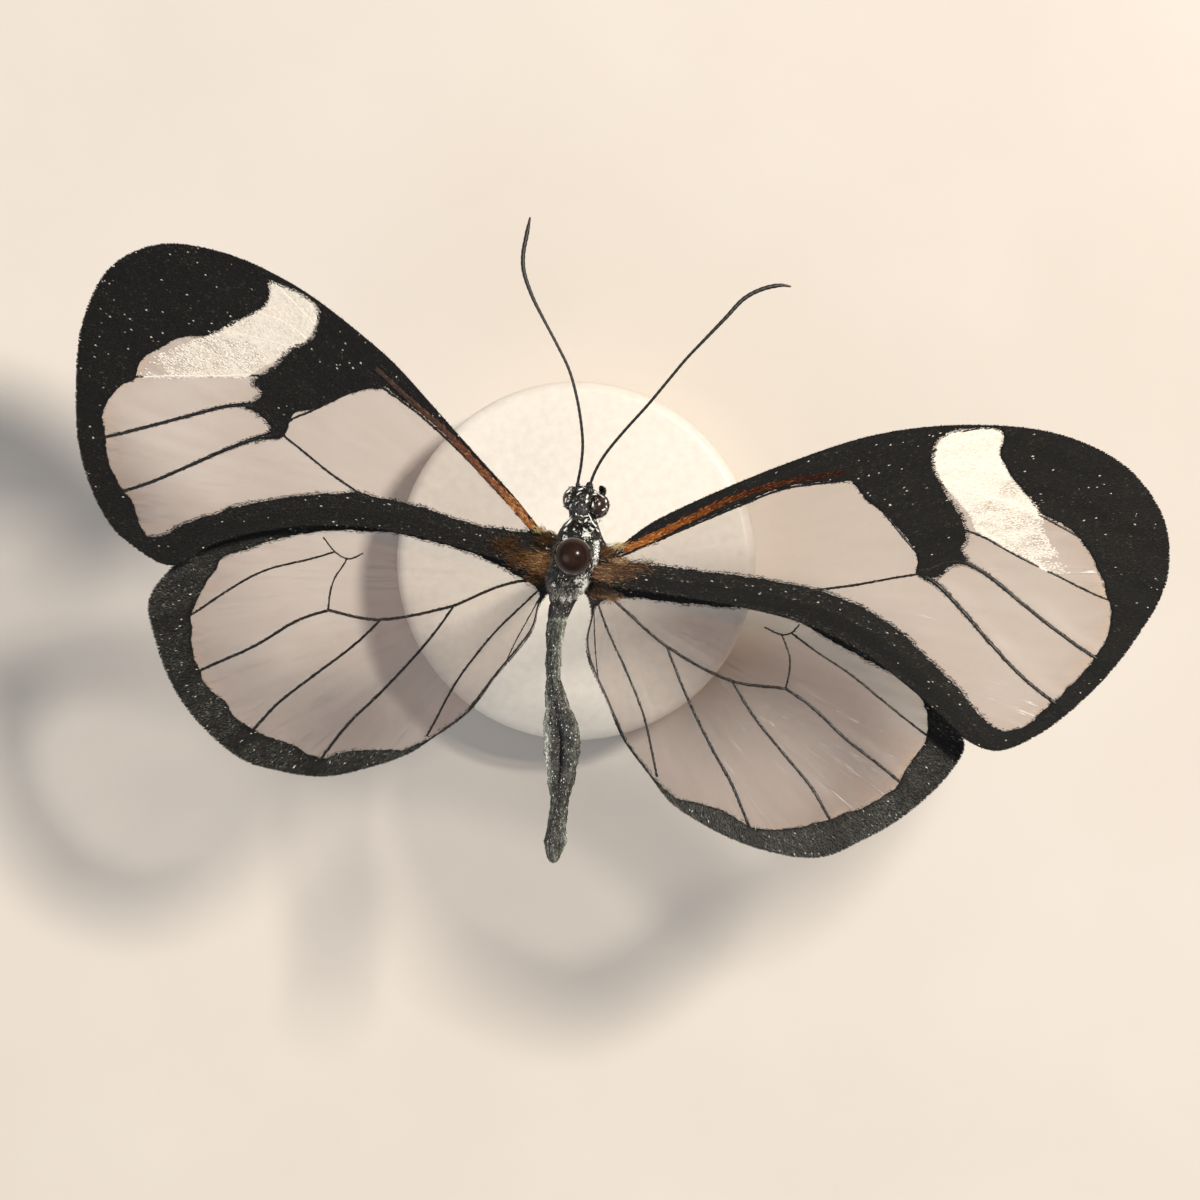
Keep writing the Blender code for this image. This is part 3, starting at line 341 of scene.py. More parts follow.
# Long soft scales and hairs at the wings' roots: x, y, z, spread, the way they lie along x and y, how
# long they are, how light they are and how many there are.
ROOT_TUFTS = [
    (-1.75, -0.20, 26.50, 0.40, -1.0, 0.15, 0.40, 0.55, 1100),
    (-2.60, -0.02, 26.35, 0.42, -1.0, 0.20, 0.36, 0.38, 800),
    (-1.80, 1.50, 26.60, 0.15, -0.6, 0.80, 0.26, 0.85, 160),
    (-1.55, 0.95, 26.60, 0.22, -0.7, 0.60, 0.34, 0.25, 420),
    (-1.85, -0.95, 25.40, 0.34, -0.9, -0.30, 0.36, 0.42, 600),
    (-1.35, -0.60, 26.10, 0.25, -0.5, -0.90, 0.45, 0.45, 420),
    (-3.6, 0.75, 26.10, 0.40, -1.0, 0.30, 0.28, 0.30, 420),
    (1.80, -0.80, 26.90, 0.34, 1.0, -0.15, 0.40, 0.52, 1100),
    (2.60, -0.72, 26.98, 0.42, 1.0, -0.05, 0.36, 0.34, 800),
    (2.35, 0.62, 27.00, 0.16, 0.9, 0.35, 0.28, 0.88, 200),
    (1.75, 0.35, 26.90, 0.26, 0.9, 0.30, 0.34, 0.36, 500),
    (2.40, -0.20, 26.95, 0.20, 1.0, -0.40, 0.30, 0.72, 260),
    (-1.30, 1.25, 26.80, 0.14, -0.6, 0.50, 0.26, 0.30, 260),
    (3.60, -0.50, 27.02, 0.36, 1.0, -0.20, 0.28, 0.32, 420),
    (1.40, -1.70, 25.55, 0.32, 0.6, -0.50, 0.36, 0.40, 600),
    (2.05, -2.00, 25.58, 0.24, 0.9, -0.50, 0.30, 0.62, 260),
]

# The feelers from root to tip. The legs: the middle between a pair, then places beside it, ahead and
# above the body's middle. Parts of the head are given from its centre as right, ahead and up.
ANTENNA_LEFT = [
    (0.18, 3.42, 26.5), (0.17, 3.85, 26.65), (0.34, 4.8, 27.0), (0.43, 5.9, 27.3), (0.29, 7.4, 27.6),
    (0.02, 8.75, 27.8), (-0.30, 9.8, 27.9), (-0.88, 11.0, 28.0), (-1.62, 12.4, 28.0), (-2.21, 13.6, 27.9),
    (-2.63, 14.9, 27.8), (-2.65, 15.75, 27.7), (-2.48, 16.7, 27.6), (-2.30, 17.65, 27.4),
]
ANTENNA_RIGHT = [
    (0.72, 3.32, 26.6), (0.80, 3.75, 26.7), (1.08, 4.5, 27.0), (1.58, 5.35, 27.3), (2.52, 6.5, 27.6),
    (3.79, 7.9, 27.9), (4.96, 9.3, 28.1), (5.8, 10.3, 28.2), (6.76, 11.3, 28.3), (7.82, 12.4, 28.3),
    (8.78, 13.4, 28.2), (9.73, 13.9, 28.1), (10.69, 14.1, 28.0), (11.2, 14.04, 27.9),
]
LEG_PATHS = {
    "leg_fore": (0.30, [(0.56, 1.0, -0.9), (0.60, 1.6, -1.6), (0.58, 1.85, -2.05), (0.56, 1.1, -2.5)]),
    "leg_mid": (0.12, [(0.85, 0.4, -1.0), (1.10, 0.8, -2.1), (1.12, 1.15, -2.7), (1.12, 0.0, -3.3),
                       (1.05, -1.0, -3.2)]),
    "leg_hind": (0.0, [(0.80, -0.9, -0.9), (0.92, -1.3, -2.2), (0.92, -1.5, -3.1), (0.88, -0.3, -4.3),
                       (0.80, 1.0, -4.8)]),
}
EYE_OFFSET = (0.75, 0.0, 0.23)
EYE_RADII = (0.50, 0.60, 0.62)
EYE_TILT = math.radians(42.0)
PALP_PATH = [(0.38, 0.50, -0.75), (0.38, 0.84, -0.70), (0.36, 0.96, -0.42)]
COIL_CENTRE = (0.35, 0.20, -1.95)

# The plain base with its rounded edges and the hole for the pin, and the pin with its point and bead.
BASE_RADIUS = 10.0
BASE_HEIGHT = 5.0
BASE_ROUND = 0.6
BASE_HOLE_RADIUS = 0.55
BASE_HOLE_DEPTH = 4.0
HOLE_BEVEL = 0.1
PIN_RADIUS = 0.24
PIN_POINT_RADIUS = 0.04
PIN_POINT_LENGTH = 0.9
PIN_LOW = 1.3
PIN_HIGH = 38.3
BEAD_RADIUS = 0.92
BEAD_MIDDLE = PIN_HIGH + 0.3 + BEAD_RADIUS


# Meshes

def put_mesh(name, points, faces, look, nodes=(), smooth=True, shade=None, bake=None, lie=None):
    """A mesh piece from points in millimetres. shade is a value per point, bake a place per point on the
    baked picture, and lie a place in millimetres across and along the rays of a wing per point."""
    mesh = bpy.data.meshes.new(name)
    faces = np.asarray(faces, np.int32)
    mesh.vertices.add(len(points))
    mesh.vertices.foreach_set("co", (np.asarray(points, np.float64) * MM).astype(np.float32).ravel())
    mesh.loops.add(faces.size)
    mesh.loops.foreach_set("vertex_index", faces.ravel())
    mesh.polygons.add(len(faces))
    mesh.polygons.foreach_set("loop_start", np.arange(0, faces.size, faces.shape[1], dtype=np.int32))
    mesh.update(calc_edges=True)
    mesh.validate()
    kinds = (("shade", "FLOAT", "value", shade), ("lie", "FLOAT_VECTOR", "vector", lie))
    for key, kind, field, values in kinds:
        if values is not None:
            layer = mesh.attributes.new(key, kind, "POINT")
            layer.data.foreach_set(field, np.asarray(values, np.float32).ravel())
    if bake is not None:
        layer = mesh.uv_layers.new(name="OFBake")
        layer.data.foreach_set("uv", np.asarray(bake, np.float32)[faces.ravel()].ravel())
    if smooth:
        mesh.shade_smooth()
    else:
        mesh.shade_flat()
    mesh.materials.append(look)
    piece = bpy.data.objects.new(name, mesh)
    bpy.context.scene.collection.objects.link(piece)
    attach(piece, "root")
    if nodes:
        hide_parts(*nodes)
    return piece


def put_scales(name, look, roots, ahead, up, size, tone, places):
    """Single scales as one piece: size is their length, width and lift, tone a value for each and places
    their roots on the unwrap."""
    points, faces = scale_plates(roots, ahead, up, *size)
    put_mesh(name, points, faces, look, smooth=False, shade=np.repeat(tone, SCALE_POINTS),
             bake=patches(places, SCALE_POINTS))


def put_hairs(name, look, parts, tone, places):
    """Hairs, made in one or several parts, as one piece with a tone and a place on the unwrap for each."""
    points, faces = join(parts)
    put_mesh(name, points, faces, look, smooth=False, shade=np.repeat(tone, HAIR_POINTS),
             bake=patches(places, HAIR_POINTS))


def join(parts):
    """Several (points, faces) with faces of one size, joined into one."""
    offsets = np.cumsum([0] + [len(p) for p, _ in parts[:-1]])
    return (np.vstack([p for p, _ in parts]), np.vstack([f + o for (_, f), o in zip(parts, offsets)]))


def closed_rings(rows, sides):
    """Triangles of a skin of rings, one after the other, closed round and at both ends. The two end
    points come after all rings."""
    index = np.arange(rows * sides).reshape(rows, sides)
    after = np.roll(index, -1, axis=1)
    quads = np.stack([index[:-1], after[:-1], after[1:], index[1:]], axis=-1).reshape(-1, 4)
    return np.concatenate([
        quads[:, [0, 1, 2]], quads[:, [0, 2, 3]],
        np.column_stack([after[0], index[0], np.full(sides, rows * sides)]),
        np.column_stack([index[-1], after[-1], np.full(sides, rows * sides + 1)]),
    ])


def smooth_curve(points, step, closed=False):
    """A smooth curve through the points, read again at even steps along it. Each stretch is blended from
    four neighbouring points, whose knots lie apart by the square root of the distance between them."""
    p = np.array(points, float)
    if closed:
        p = np.vstack([p[-1:], p, p[:2]])
    else:
        p = np.vstack([2 * p[0] - p[1], p, 2 * p[-1] - p[-2]])
    fine = []
    for i in range(1, len(p) - 2):
        quad = p[i - 1:i + 3]
        t = np.concatenate([[0.0], np.cumsum(np.sqrt(np.linalg.norm(np.diff(quad, axis=0), axis=1)))])
        at = np.linspace(t[1], t[2], 16, endpoint=False)[:, None]
        a = [((t[k + 1] - at) * quad[k] + (at - t[k]) * quad[k + 1]) / (t[k + 1] - t[k]) for k in range(3)]
        b = [((t[k + 2] - at) * a[k] + (at - t[k]) * a[k + 1]) / (t[k + 2] - t[k]) for k in range(2)]
        fine.append(((t[2] - at) * b[0] + (at - t[1]) * b[1]) / (t[2] - t[1]))
    fine = np.vstack(fine + [p[-2:-1]])
    length = np.concatenate([[0.0], np.cumsum(np.linalg.norm(np.diff(fine, axis=0), axis=1))])
    even = np.linspace(0.0, length[-1], max(2, round(length[-1] / step)) + 1)
    curve = np.stack([np.interp(even, length, fine[:, k]) for k in range(fine.shape[1])], axis=1)
    return curve[:-1] if closed else curve


def plate_bend(distance):
    """r squared times log r, the shape of a thin plate bent at one point."""
    return np.where(distance > 0, distance ** 2 * np.log(np.maximum(distance, 1e-9)), 0.0)


def carry(points, marks):
    """Points of a right wing carried to the left wing by a thin-plate bend through the marks: a plane
    plus plate_bend of the distance to each mark, with weights solved for the marks' new places."""
    source = np.array([m[0] for m in marks], float)
    target = np.array([m[1] for m in marks], float)
    count = len(source)
    spread = plate_bend(np.linalg.norm(source[:, None] - source[None], axis=2))
    plane = np.column_stack([np.ones(count), source])
    system = np.block([[spread + BEND_STIFFNESS * np.eye(count), plane], [plane.T, np.zeros((3, 3))]])
    weights = np.linalg.solve(system, np.vstack([target, np.zeros((3, 2))]))
    points = np.array(points, float)
    reach = plate_bend(np.linalg.norm(points[:, None] - source[None], axis=2))
    return np.column_stack([reach, np.ones(len(points)), points]) @ weights


def near_line(points, line):
    """Distance in the plane from each point to the nearest stretch of a line."""
    start, run = line[:-1], np.diff(line, axis=0)
    size = np.maximum((run ** 2).sum(axis=1), 1e-12)
    found = np.empty(len(points))
    for k in range(0, len(points), CHUNK):
        away = points[k:k + CHUNK, None] - start[None]
        share = np.clip((away * run).sum(axis=2) / size, 0, 1)
        found[k:k + CHUNK] = np.sqrt(((away - share[..., None] * run) ** 2).sum(axis=2).min(axis=1))
    return found


def signed_distance(points, outline):
    """Distance to a closed outline, positive inside, by counting the edges that a ray crosses."""
    after = np.roll(outline, -1, axis=0)
    rise = after[:, 1] - outline[:, 1]
    slant = (after[:, 0] - outline[:, 0]) / np.where(rise == 0, 1e-12, rise)
    within = np.empty(len(points), bool)
    for k in range(0, len(points), CHUNK):
        x, y = points[k:k + CHUNK, :1], points[k:k + CHUNK, 1:2]
        spans = (outline[:, 1] > y) != (after[:, 1] > y)
        crossed = spans & (x < outline[:, 0] + (y - outline[:, 1]) * slant)
        within[k:k + CHUNK] = crossed.sum(axis=1) % 2 == 1
    return np.where(within, 1.0, -1.0) * near_line(points, np.vstack([outline, outline[:1]]))


def mottle(x, y, cell, seed):
    """Smooth noise from -1 to 1: seeded values at the corners of square cells, blended between them."""
    values = np.random.default_rng(seed).uniform(-1, 1, (64, 64))
    u, v = x / cell, y / cell
    i, j = np.floor(u).astype(int), np.floor(v).astype(int)
    a, b = u - i, v - j
    a, b = a * a * (3 - 2 * a), b * b * (3 - 2 * b)
    low = values[i % 64, j % 64] * (1 - a) + values[(i + 1) % 64, j % 64] * a
    high = values[i % 64, (j + 1) % 64] * (1 - a) + values[(i + 1) % 64, (j + 1) % 64] * a
    return low * (1 - b) + high * b


def plan_grid(outline, step):
    """Points on a square grid over an outline, and its triangles."""
    low, high = outline.min(axis=0) - step, outline.max(axis=0) + step
    xs, ys = np.arange(low[0], high[0] + step, step), np.arange(low[1], high[1] + step, step)
    grid = np.stack(np.meshgrid(xs, ys, indexing="ij"), axis=-1).reshape(-1, 2)
    index = np.arange(len(xs) * len(ys)).reshape(len(xs), len(ys))
    a, b, c, d = index[:-1, :-1], index[1:, :-1], index[1:, 1:], index[:-1, 1:]
    halves = [np.stack(corners, -1).reshape(-1, 3) for corners in ((a, b, c), (a, c, d))]
    return grid, np.concatenate(halves)


def trimmed(points, triangles, value):
    """The part of a plane mesh where value is above nought. An edge is cut where the value, taken
    to change evenly along it, passes nought."""
    inside = value > 0
    count = inside[triangles].sum(axis=1)
    whole = triangles[count == 3]
    made = [whole]
    edges = []
    for inner in (1, 2):
        part = triangles[count == inner]
        odd = np.argmax(inside[part] if inner == 1 else ~inside[part], axis=1)
        part = np.take_along_axis(part, (odd[:, None] + np.arange(3)) % 3, axis=1)
        edges.append((inner, part))
    keys = np.concatenate([np.sort(p[:, c], axis=1) for _, p in edges for c in ([0, 1], [0, 2])])
    unique, back = np.unique(keys, axis=0, return_inverse=True)
    back = back.ravel()
    va, vb = value[unique[:, 0]], value[unique[:, 1]]
    share = np.clip(va / np.where(va == vb, 1, va - vb), 0.04, 0.96)[:, None]
    added = points[unique[:, 0]] * (1 - share) + points[unique[:, 1]] * share
    at = 0
    for inner, part in edges:
        ab = back[at:at + len(part)] + len(points)
        ac = back[at + len(part):at + 2 * len(part)] + len(points)
        at += 2 * len(part)
        if inner == 1:
            made.append(np.column_stack([part[:, 0], ab, ac]))
        else:
            made.append(np.column_stack([ab, part[:, 1], part[:, 2]]))
            made.append(np.column_stack([ab, part[:, 2], ac]))
    triangles = np.concatenate(made)
    used, renumbered = np.unique(triangles, return_inverse=True)
    return np.vstack([points, added])[used], renumbered.reshape(-1, 3)


def slab(plan, triangles, middle, half):
    """A thin closed plate: the plan raised and lowered by half about the middle, with walls round it."""
    count = len(plan)
    points = np.vstack([np.column_stack([plan, middle + half]), np.column_stack([plan, middle - half])])
    sides = np.concatenate([triangles[:, [0, 1]], triangles[:, [1, 2]], triangles[:, [2, 0]]])
    code = sides[:, 0].astype(np.int64) * count + sides[:, 1]
    back = sides[:, 1].astype(np.int64) * count + sides[:, 0]
    rim = sides[~np.isin(code, back)]
    walls = np.concatenate([np.column_stack([rim[:, 0] + count, rim[:, 1] + count, rim[:, 1]]),
                            np.column_stack([rim[:, 0] + count, rim[:, 1], rim[:, 0]])])
    return points, np.concatenate([triangles, triangles[:, ::-1] + count, walls])


def tube(line, radius, sides):
    """A closed tube along a line of points in space: rings square to the path, one point at each end."""
    ahead = unit(np.gradient(line, axis=0))
    radius = np.broadcast_to(radius, len(line)).astype(float)
    across = np.cross(ahead, (0.0, 0.0, 1.0))
    across[np.linalg.norm(across, axis=1) < 1e-3] = (1.0, 0.0, 0.0)
    across = unit(across)
    up = np.cross(across, ahead)
    angle = 2 * np.pi * np.arange(sides) / sides
    ring = np.cos(angle)[None, :, None] * across[:, None] + np.sin(angle)[None, :, None] * up[:, None]
    body = (line[:, None] + radius[:, None, None] * ring).reshape(-1, 3)
    ends = np.vstack([line[0] - ahead[0] * radius[0] * 0.7, line[-1] + ahead[-1] * radius[-1] * 0.7])
    return np.vstack([body, ends]), closed_rings(len(line), sides)[:, ::-1]


def turned(profile, sides):
    """A body turned about the pin's axis from (radius, z), its ends closed on the axis."""
    profile = np.array(profile, float)
    angle = 2 * np.pi * np.arange(sides) / sides
    radius, z = profile[1:-1, 0], profile[1:-1, 1]
    body = np.stack([radius[:, None] * np.cos(angle), radius[:, None] * np.sin(angle),
                     np.broadcast_to(z[:, None], (len(z), sides))], axis=-1).reshape(-1, 3)
    ends = np.array([[0, 0, profile[0, 1]], [0, 0, profile[-1, 1]]])
    return np.vstack([body, ends]), closed_rings(len(z), sides)


def ellipsoid(centre, radii, rows, sides):
    """A closed ellipsoid with its poles along Y: sines and cosines of two angles times the radii."""
    lat = (np.pi * np.arange(1, rows) / rows)[:, None]
    angle = 2 * np.pi * np.arange(sides) / sides
    body = np.stack([np.sin(lat) * np.cos(angle), np.broadcast_to(np.cos(lat), (rows - 1, sides)),
                     np.sin(lat) * np.sin(angle)], axis=-1).reshape(-1, 3)
    points = np.vstack([body, [[0, 1, 0], [0, -1, 0]]]) * np.array(radii) + np.array(centre)
    return points, closed_rings(rows - 1, sides)


def unit(vectors):
    """Vectors made one long."""
    return vectors / np.maximum(np.linalg.norm(vectors, axis=1), 1e-9)[:, None]


def scale_plates(roots, ahead, up, length, width, lift):
    """Small scales, each a closed four-sided kite: a root, a tip raised by lift and two side corners
    lower than the ridge between them by at least SCALE_RIDGE."""
    ahead = unit(ahead)
    across = unit(np.cross(up, ahead))
    length, width, lift = (np.broadcast_to(v, len(roots))[:, None] for v in (length, width, lift))
    waist = roots + ahead * length * SCALE_WAIST + up * (lift * 0.35 - SCALE_RIDGE)
    corners = np.stack([roots - up * lift * 0.15, waist - across * width / 2, waist + across * width / 2,
                        roots + ahead * length + up * lift], axis=1)
    faces = np.array([[0, 1, 3], [0, 3, 2], [0, 2, 1], [1, 2, 3]])
    first = np.arange(len(roots))[:, None, None] * SCALE_POINTS
    return corners.reshape(-1, 3), (first + faces).reshape(-1, 3)


def hairs(roots, tips, bend, radius):
    """Tapered hairs, each a closed three-sided spike with one bent ring half way along."""
    along = unit(tips - roots)
    side = unit(np.cross(along, np.array([0.31, 0.22, 0.93])))
    up = np.cross(side, along)
    radius = np.broadcast_to(radius, len(roots))[:, None]
    turns = 2 * np.pi * np.arange(3) / 3
    rings = []
    for place, share in ((roots, 1.0), ((roots + tips) / 2 + bend, 0.7)):
        rings += [place + radius * share * (math.cos(t) * side + math.sin(t) * up) for t in turns]
    points = np.stack(rings + [tips], axis=1)
    faces = np.array([[0, 1, 4], [0, 4, 3], [1, 2, 5], [1, 5, 4], [2, 0, 3], [2, 3, 5],
                      [3, 4, 6], [4, 5, 6], [5, 3, 6], [0, 2, 1]])
    first = np.arange(len(roots))[:, None, None] * HAIR_POINTS
    return points.reshape(-1, 3), (first + faces).reshape(-1, 3)


def patches(places, each):
    """A small patch of the baked picture for each scale or hair, at its root's place on the unwrap."""
    turn = 2 * np.pi * np.arange(each) / each
    spot = BAKE_PATCH / 2 * np.column_stack([np.cos(turn), np.sin(turn)])
    return (np.clip(places, 0.01, 0.99)[:, None] + spot[None]).reshape(-1, 2)


# Materials

def linear(code):
    """A linear colour from a six-figure sRGB hex code."""
    parts = [int(code[k:k + 2], 16) / 255 for k in (0, 2, 4)]
    return tuple(c / 12.92 if c <= 0.04045 else ((c + 0.055) / 1.055) ** 2.4 for c in parts) + (1.0,)


def add(tree, kind, inputs=None, links=None, **settings):
    """Adds a node, sets its fields and sockets, and joins sockets to other nodes' outputs."""
    made = tree.nodes.new(kind)
    for key, value in settings.items():
        setattr(made, key, value)
    for key, value in (inputs or {}).items():
        made.inputs[key].default_value = value
    for key, source in (links or {}).items():
        tree.links.new(source, made.inputs[key])
    return made


def new_material(name, **sockets):
    """A material with one Principled shader, its constant sockets set, and its node tree."""
    look = bpy.data.materials.new(name)
    look.use_nodes = True
    shader = look.node_tree.nodes["Principled BSDF"]
    for key, value in sockets.items():
        shader.inputs[key.replace("_", " ")].default_value = value
    return look, look.node_tree, shader


def paint(tree, shader, value, stops):
    """Colours the shader by a value from 0 to 1, through a ramp with stops of (place, hex)."""
    made = add(tree, "ShaderNodeValToRGB", links={"Fac": value})
    bar = made.color_ramp
    while len(bar.elements) < len(stops):
        bar.elements.new(0.5)
    for element, (place, code) in zip(bar.elements, stops):
        element.position = place
        element.color = linear(code)
    tree.links.new(made.outputs["Color"], shader.inputs["Base Color"])


def cells(tree, place, scale, detail, roughness):
    """Noise on a place, with a number of cells for its unit along each axis."""
    placed = add(tree, "ShaderNodeMapping", {"Scale": scale}, {"Vector": place})
    return add(tree, "ShaderNodeTexNoise", {"Scale": 1.0, "Detail": detail, "Roughness": roughness},
               {"Vector": placed.outputs["Vector"]}).outputs["Fac"]


def noise(tree, per_mm, detail=3.0, roughness=0.55, stretch=(1, 1, 1)):
    """Noise on object coordinates with per_mm cells a millimetre, stretched along each axis."""
    place = add(tree, "ShaderNodeTexCoord").outputs["Object"]
    return cells(tree, place, [s * per_mm / MM for s in stretch], detail, roughness)


def ray_noise(tree, across, along, detail=3.0):
    """Noise that runs out along the rays of a wing, with cells a millimetre across and along them."""
    place = add(tree, "ShaderNodeAttribute", attribute_name="lie").outputs["Vector"]
    return cells(tree, place, (across, along, 1.0), detail, 0.55)


def bump(tree, shader, height, strength, depth):
    """Relief of a depth in millimetres on the shader's normal."""
    made = add(tree, "ShaderNodeBump", {"Strength": strength, "Distance": depth * MM}, {"Height": height})
    tree.links.new(made.outputs["Normal"], shader.inputs["Normal"])


def shaded_scales(name, roughness, sheen, gloss, stops):
    """Insect scales and hairs: chitin grown as thin blades and dried. Matt to silky, each with its own
    tone from the shade attribute, which gives the eye a finely broken coat."""
    look, tree, shader = new_material(name, Roughness=roughness, IOR=1.55, Sheen_Weight=sheen,
                                      Sheen_Roughness=0.4, Specular_IOR_Level=gloss)
    tone = add(tree, "ShaderNodeAttribute", attribute_name="shade").outputs["Fac"]
    paint(tree, shader, tone, stops)
    return look


def chitin_cuticle():
    """Black cuticle: chitin hardened in layers and dried. Finely pitted, which gives a dull, broken
    shine under the scales."""
    look, tree, shader = new_material("dried_black_cuticle", Roughness=0.5, IOR=1.56)
    tone = add(tree, "ShaderNodeAttribute", attribute_name="shade").outputs["Fac"]
    grain = add(tree, "ShaderNodeMath", {1: 0.3}, {0: noise(tree, 9.0), 2: tone}, operation="MULTIPLY_ADD")
    paint(tree, shader, grain.outputs["Value"],
          [(0.1, "0b0a09"), (0.4, "24231f"), (0.7, "5f655c"), (1.0, "b9beb6")])
    bump(tree, shader, noise(tree, 14.0, 4.0), 0.6, 0.03)
    return look


def clear_membrane():
    """Wing membrane: chitin a few microns thick, stretched between the veins, without scales. Smoke brown,
    glossy and see-through, with faint creases and a paler golden sheen of painted reflection towards the
    outer margin."""
    look, tree, shader = new_material("clear_wing_membrane", Roughness=0.24, IOR=1.56)
    tint_and_reflection = add(tree, "ShaderNodeAttribute", attribute_name="shade").outputs["Fac"]
    # High values give a pale golden sheen, which is painted reflection; low values give the membrane's own
    # smoke-brown tint.
    paint(tree, shader, tint_and_reflection, [(0.0, "6b4733"), (0.4, "7f5a42"), (0.7, "a08060"), (1.0, "cdb694")])
    thin = add(tree, "ShaderNodeMapRange", {"To Min": 0.17, "To Max": 0.42}, {"Value": tint_and_reflection})
    tree.links.new(thin.outputs["Result"], shader.inputs["Alpha"])
    crease = add(tree, "ShaderNodeMapRange", {"From Min": 0.57, "From Max": 0.70},
                 {"Value": ray_noise(tree, 2.6, 0.16, 2.0)})
    bump(tree, shader, crease.outputs["Result"], 1.0, 0.12)
    return look


def dark_wing_cover(name, stops):
    """Dark wing cover: ground scales that grew in overlapping rows, under the single ones. Matt, in fine
    rows of light and dark along the rays, 0.11 mm apart: coarser than real rows, so that they show."""
    look, tree, shader = new_material(name, Roughness=0.7, IOR=1.5, Specular_IOR_Level=0.2)
    paint(tree, shader, ray_noise(tree, 9.0, 1.2), stops)
    bump(tree, shader, noise(tree, 9.0, 2.0), 0.5, 0.03)
    return look


def white_band_cover():
    """White band: pearly scales that grew sparsely over clear membrane. Silky, with faint streaks along
    the wing, and see-through where its shade is low."""
    look, tree, shader = new_material("pearly_white_scales", Roughness=0.38, IOR=1.56, Sheen_Weight=0.3,
                                      Sheen_Roughness=0.3)
    grain = ray_noise(tree, 12.0, 1.6, 4.0)
    paint(tree, shader, grain, [(0.25, "c9c0b0"), (0.5, "e2dbce"), (0.75, "f3eee5")])
    thick = add(tree, "ShaderNodeAttribute", attribute_name="shade").outputs["Fac"]
    mixed = add(tree, "ShaderNodeMath", {1: 0.9}, {0: grain, 2: thick}, operation="MULTIPLY_ADD")
    cover = add(tree, "ShaderNodeMapRange", {"From Min": 0.5, "From Max": 1.35},
                {"Value": mixed.outputs["Value"]})
    tree.links.new(cover.outputs["Result"], shader.inputs["Alpha"])
    bump(tree, shader, noise(tree, 8.0, 3.0), 0.5, 0.03)
    return look


def vein_chitin():
    """Wing vein: chitin grown as a hollow tube and dried. Softly glossy, black where thick, reddish brown
    where thin and white where pearly scales lie on it."""
    look, tree, shader = new_material("vein_chitin", Roughness=0.38, IOR=1.56)
    tone = add(tree, "ShaderNodeAttribute", attribute_name="shade").outputs["Fac"]
    paint(tree, shader, tone,
          [(0.0, "efeae0"), (0.15, "b9a58c"), (0.3, "7d5c42"), (0.6, "35231a"), (1.0, "0b0908")])
    return look


def eye_lens():
    """Compound eye: clear facets grown side by side over dark cells, dried. Dark brown and glossy, its
    shine broken by the facets, which are drawn 0.045 mm across, about twice real size, so that they show."""
    look, tree, shader = new_material("dried_compound_eye", Roughness=0.22, IOR=1.5, Coat_Weight=0.2,
                                      Coat_Roughness=0.12)
    place = add(tree, "ShaderNodeTexCoord").outputs["Object"]
    facets = add(tree, "ShaderNodeTexVoronoi", {"Scale": 1 / (0.045 * MM)}, {"Vector": place})
    paint(tree, shader, noise(tree, 3.0), [(0.3, "170e0b"), (0.6, "33221b"), (0.85, "54402f")])
    bump(tree, shader, facets.outputs["Distance"], 0.5, 0.01)
    return look


def antenna_chitin():
    """Feelers and legs: chitin grown in short rings and dried. Matt black, brown at a feeler's very tip,
    with a fine grain that breaks its shine."""
    look, tree, shader = new_material("antenna_chitin", Roughness=0.5, IOR=1.55)
    tone = add(tree, "ShaderNodeAttribute", attribute_name="shade").outputs["Fac"]
    paint(tree, shader, tone, [(0.0, "0e0c0b"), (0.7, "1c1613"), (1.0, "5a3a24")])
    bump(tree, shader, noise(tree, 20.0), 0.4, 0.01)
    return look


def bead_enamel():
    """Enamel: dark brown, moulded round the pin's end. A smooth, deep gloss with soft clouds of colour."""
    look, tree, shader = new_material("brown_bead_enamel", Roughness=0.2, IOR=1.45, Specular_IOR_Level=0.2)
    paint(tree, shader, noise(tree, 0.9, 2.0), [(0.3, "150b08"), (0.6, "241612"), (0.85, "35241d")])
    return look


def drawn_steel():
    """Stainless steel: drawn to wire. Bright, with faint lines along its length that stretch its shine."""
    look, tree, shader = new_material("drawn_steel", Roughness=0.28, Metallic=1.0)
    paint(tree, shader, noise(tree, 30.0, 2.0, 0.5, (1, 1, 0.05)), [(0.3, "9a9a98"), (0.7, "c9c9c6")])
    return look


def stand_resin():
    """Resin: off-white, cast in one piece. Silky, with a very fine grain."""
    look, tree, shader = new_material("offwhite_resin", Roughness=0.45, IOR=1.49)
    paint(tree, shader, noise(tree, 2.0, 5.0), [(0.3, "dedad2"), (0.7, "e8e5de")])
    bump(tree, shader, noise(tree, 12.0, 3.0), 0.15, 0.02)
    return look


def floor_paper():
    """Paper: pale, pressed smooth. Matt and even, with very soft clouds."""
    look, tree, shader = new_material("pale_paper", Roughness=0.85)
    paint(tree, shader, noise(tree, 0.05, 4.0), [(0.3, "d3cdc6"), (0.7, "d8d3cc")])
    return look


